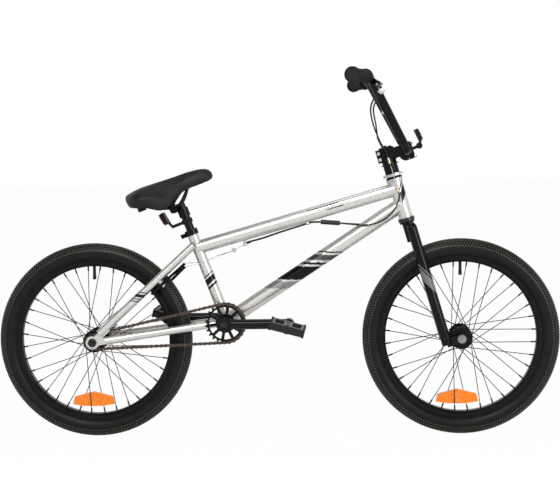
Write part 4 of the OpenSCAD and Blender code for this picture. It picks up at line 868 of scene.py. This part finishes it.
def make_grip_plugs():
    """Round end plugs with a raised rim, one on each grip."""
    soft = rubber("plug_rubber", 0.018, 0.5, 0.62, 700, 0.00005)
    ahead = (GRIP_END - GRIP_CORNER).normalized()
    deselect()
    bpy.ops.mesh.primitive_cylinder_add(vertices=48, radius=PLUG_R, depth=PLUG_T)
    plug = bpy.context.object
    select_faces(plug, lambda middle, normal: normal.z > 0.9)
    for width, rise in PLUG_RINGS:
        bpy.ops.mesh.inset(thickness=width, depth=rise)
    bpy.ops.object.mode_set(mode="OBJECT")
    turn = ahead.to_track_quat("Z", "Y").to_matrix().to_4x4()
    at = GRIP_END + ahead * (GRIP_CAP + PLUG_STANDS_OUT)
    twin = copy_of(plug)
    plug.data.transform(Matrix.Translation(at) @ turn)
    twin.data.transform(Matrix.Scale(-1, 4, (0, 1, 0)) @ Matrix.Translation(at) @ turn)
    settle(join([plug, twin]), "grip_plugs", soft, "steering", 30)


def dome_cap(radius, height, rim):
    """A short round cap with a bevelled rim, standing on the XY plane."""
    deselect()
    bpy.ops.mesh.primitive_cylinder_add(
        vertices=32, radius=radius, depth=height, location=(0, 0, height / 2))
    cap = bpy.context.object
    bpy.ops.object.transform_apply(location=True, rotation=False, scale=False)
    select_faces(cap, lambda middle, normal: normal.z > 0.9)
    bpy.ops.mesh.inset(thickness=rim)
    bpy.ops.mesh.inset(thickness=rim * 0.5, depth=-height * 0.4)
    bpy.ops.object.mode_set(mode="OBJECT")
    bevel = cap.modifiers.new("edges", "BEVEL")
    bevel.width = rim * 0.3
    bevel.segments = 2
    bevel.limit_method = "ANGLE"
    apply_modifiers(cap)
    return cap


VALVE_TIP = 0.162
VALVE_CAP = 0.011
VALVE_CAP_R = 0.0046
VALVE_CAP_RIM = 0.0012
VALVE_CAP_OVER = 0.75


def make_valve_caps():
    black = rubber("valve_cap_black", 0.016, 0.4, 0.5, 900, 0.00005)
    for at, side in ((FRONT_AXLE, "front"), (REAR_AXLE, "rear")):
        cap = dome_cap(VALVE_CAP_R, VALVE_CAP, VALVE_CAP_RIM)
        down = Matrix.Rotation(math.pi, 4, "X")
        top = at + Vector((0, 0, VALVE_TIP + VALVE_CAP * VALVE_CAP_OVER))
        cap.data.transform(Matrix.Translation(top) @ down)
        settle(cap, side + "_valve_cap", black, side + "_wheel", 40)


STUD_R = 0.005
STUD_T = 0.0016
STUD_RIM = 0.0012
STUD_BACK = -0.011
STUD_SIDE = 0.0045
STUD_BELOW = -0.166


def make_reflector_studs():
    """The small round stud in the middle of each wheel reflector, on both faces."""
    stud_orange = prism_plastic("stud_orange", (1.0, 0.42, 0.06), (0.9, 0.3, 0.03), 500)
    for at, side in ((FRONT_AXLE, "front"), (REAR_AXLE, "rear")):
        studs = []
        for face in (1, -1):
            stud = dome_cap(STUD_R, STUD_T, STUD_RIM)
            turn = Matrix.Rotation(-face * math.pi / 2, 4, "X")
            place = at + Vector((STUD_BACK, face * STUD_SIDE, STUD_BELOW))
            stud.data.transform(Matrix.Translation(place) @ turn)
            studs.append(stud)
        settle(join(studs), side + "_reflector_studs", stud_orange, side + "_wheel", 40)


# Studio

WALL_TOP = 0.3
CEILING_EDGE = 0.75
CEILING_TONE = 0.15
STUDIO_FILL = 0.45
FLOOR_SIZE = 40
FLOOR_TONE = (0.92, 0.92, 0.92, 1)
FLOOR_GLOW_SHARE = 0.97
LIGHT_AIM = (0, 0, 0.4)


def build_studio():
    """White walls to the height of the bike's surroundings, under a darker ceiling."""
    scene = bpy.context.scene
    scene.view_settings.view_transform = "Standard"
    world = bpy.data.worlds.new("studio")
    scene.world = world
    world.use_nodes = True
    tree = world.node_tree
    tree.nodes.clear()
    path = tree.nodes.new("ShaderNodeLightPath")
    seen = tree.nodes.new("ShaderNodeMath")
    seen.operation = "MAXIMUM"
    tree.links.new(path.outputs["Is Camera Ray"], seen.inputs[0])
    tree.links.new(path.outputs["Is Glossy Ray"], seen.inputs[1])
    shown = tree.nodes.new("ShaderNodeMath")
    shown.operation = "MAXIMUM"
    tree.links.new(seen.outputs[0], shown.inputs[0])
    tree.links.new(path.outputs["Is Transmission Ray"], shown.inputs[1])
    lit = tree.nodes.new("ShaderNodeBackground")
    lit.inputs["Strength"].default_value = STUDIO_FILL
    white = tree.nodes.new("ShaderNodeBackground")
    direction = tree.nodes.new("ShaderNodeTexCoord")
    split = tree.nodes.new("ShaderNodeSeparateXYZ")
    tree.links.new(direction.outputs["Generated"], split.inputs[0])
    ceiling = tree.nodes.new("ShaderNodeMapRange")
    ceiling.interpolation_type = "SMOOTHSTEP"
    for socket, value in zip(ceiling.inputs[1:5], (WALL_TOP, CEILING_EDGE, 1.0, CEILING_TONE)):
        socket.default_value = value
    tree.links.new(split.outputs[2], ceiling.inputs["Value"])
    tree.links.new(ceiling.outputs["Result"], white.inputs["Strength"])
    mix = tree.nodes.new("ShaderNodeMixShader")
    out = tree.nodes.new("ShaderNodeOutputWorld")
    for ground in (lit, white):
        ground.inputs["Color"].default_value = (1, 1, 1, 1)
    tree.links.new(shown.outputs[0], mix.inputs["Fac"])
    tree.links.new(lit.outputs[0], mix.inputs[1])
    tree.links.new(white.outputs[0], mix.inputs[2])
    tree.links.new(mix.outputs[0], out.inputs["Surface"])


def build_floor():
    deselect()
    bpy.ops.mesh.primitive_plane_add(size=FLOOR_SIZE)
    floor = bpy.context.object
    floor.name = "floor"
    pale = bpy.data.materials.new("pale_floor")
    pale.use_nodes = True
    tree = pale.node_tree
    shader = tree.nodes["Principled BSDF"]
    shader.inputs["Base Color"].default_value = FLOOR_TONE
    shader.inputs["Roughness"].default_value = 0.9
    path = tree.nodes.new("ShaderNodeLightPath")
    glow = tree.nodes.new("ShaderNodeEmission")
    glow.inputs["Strength"].default_value = 1.0
    share = tree.nodes.new("ShaderNodeMath")
    share.operation = "MULTIPLY"
    share.inputs[1].default_value = FLOOR_GLOW_SHARE
    tree.links.new(path.outputs["Is Camera Ray"], share.inputs[0])
    mix = tree.nodes.new("ShaderNodeMixShader")
    tree.links.new(share.outputs[0], mix.inputs["Fac"])
    tree.links.new(shader.outputs[0], mix.inputs[1])
    tree.links.new(glow.outputs[0], mix.inputs[2])
    tree.links.new(mix.outputs[0], tree.nodes["Material Output"].inputs["Surface"])
    floor.data.materials.append(pale)


def soft_light(name, at, size, power):
    data = bpy.data.lights.new(name, "AREA")
    data.shape = "SQUARE"
    data.size = size
    data.energy = power
    lamp = bpy.data.objects.new(name, data)
    bpy.context.scene.collection.objects.link(lamp)
    lamp.location = at
    lamp.rotation_euler = (Vector(LIGHT_AIM) - Vector(at)).to_track_quat("-Z", "Y").to_euler()


def light_studio():
    soft_light("front_high", (-0.4, -2.8, 2.8), 1.3, 68)
    soft_light("front_right", (2.6, -2.6, 1.4), 1.0, 30)
    soft_light("overhead", (0.0, 0.4, 3.2), 1.6, 14)
    soft_light("behind", (0.5, 3.0, 2.2), 2.0, 6)


place_camera()
paint_nodes()
make_tyres()
make_saddle()
make_reflectors()
make_pedal_cages()
make_grip_plugs()
make_valve_caps()
make_reflector_studs()
build_studio()
build_floor()
light_studio()
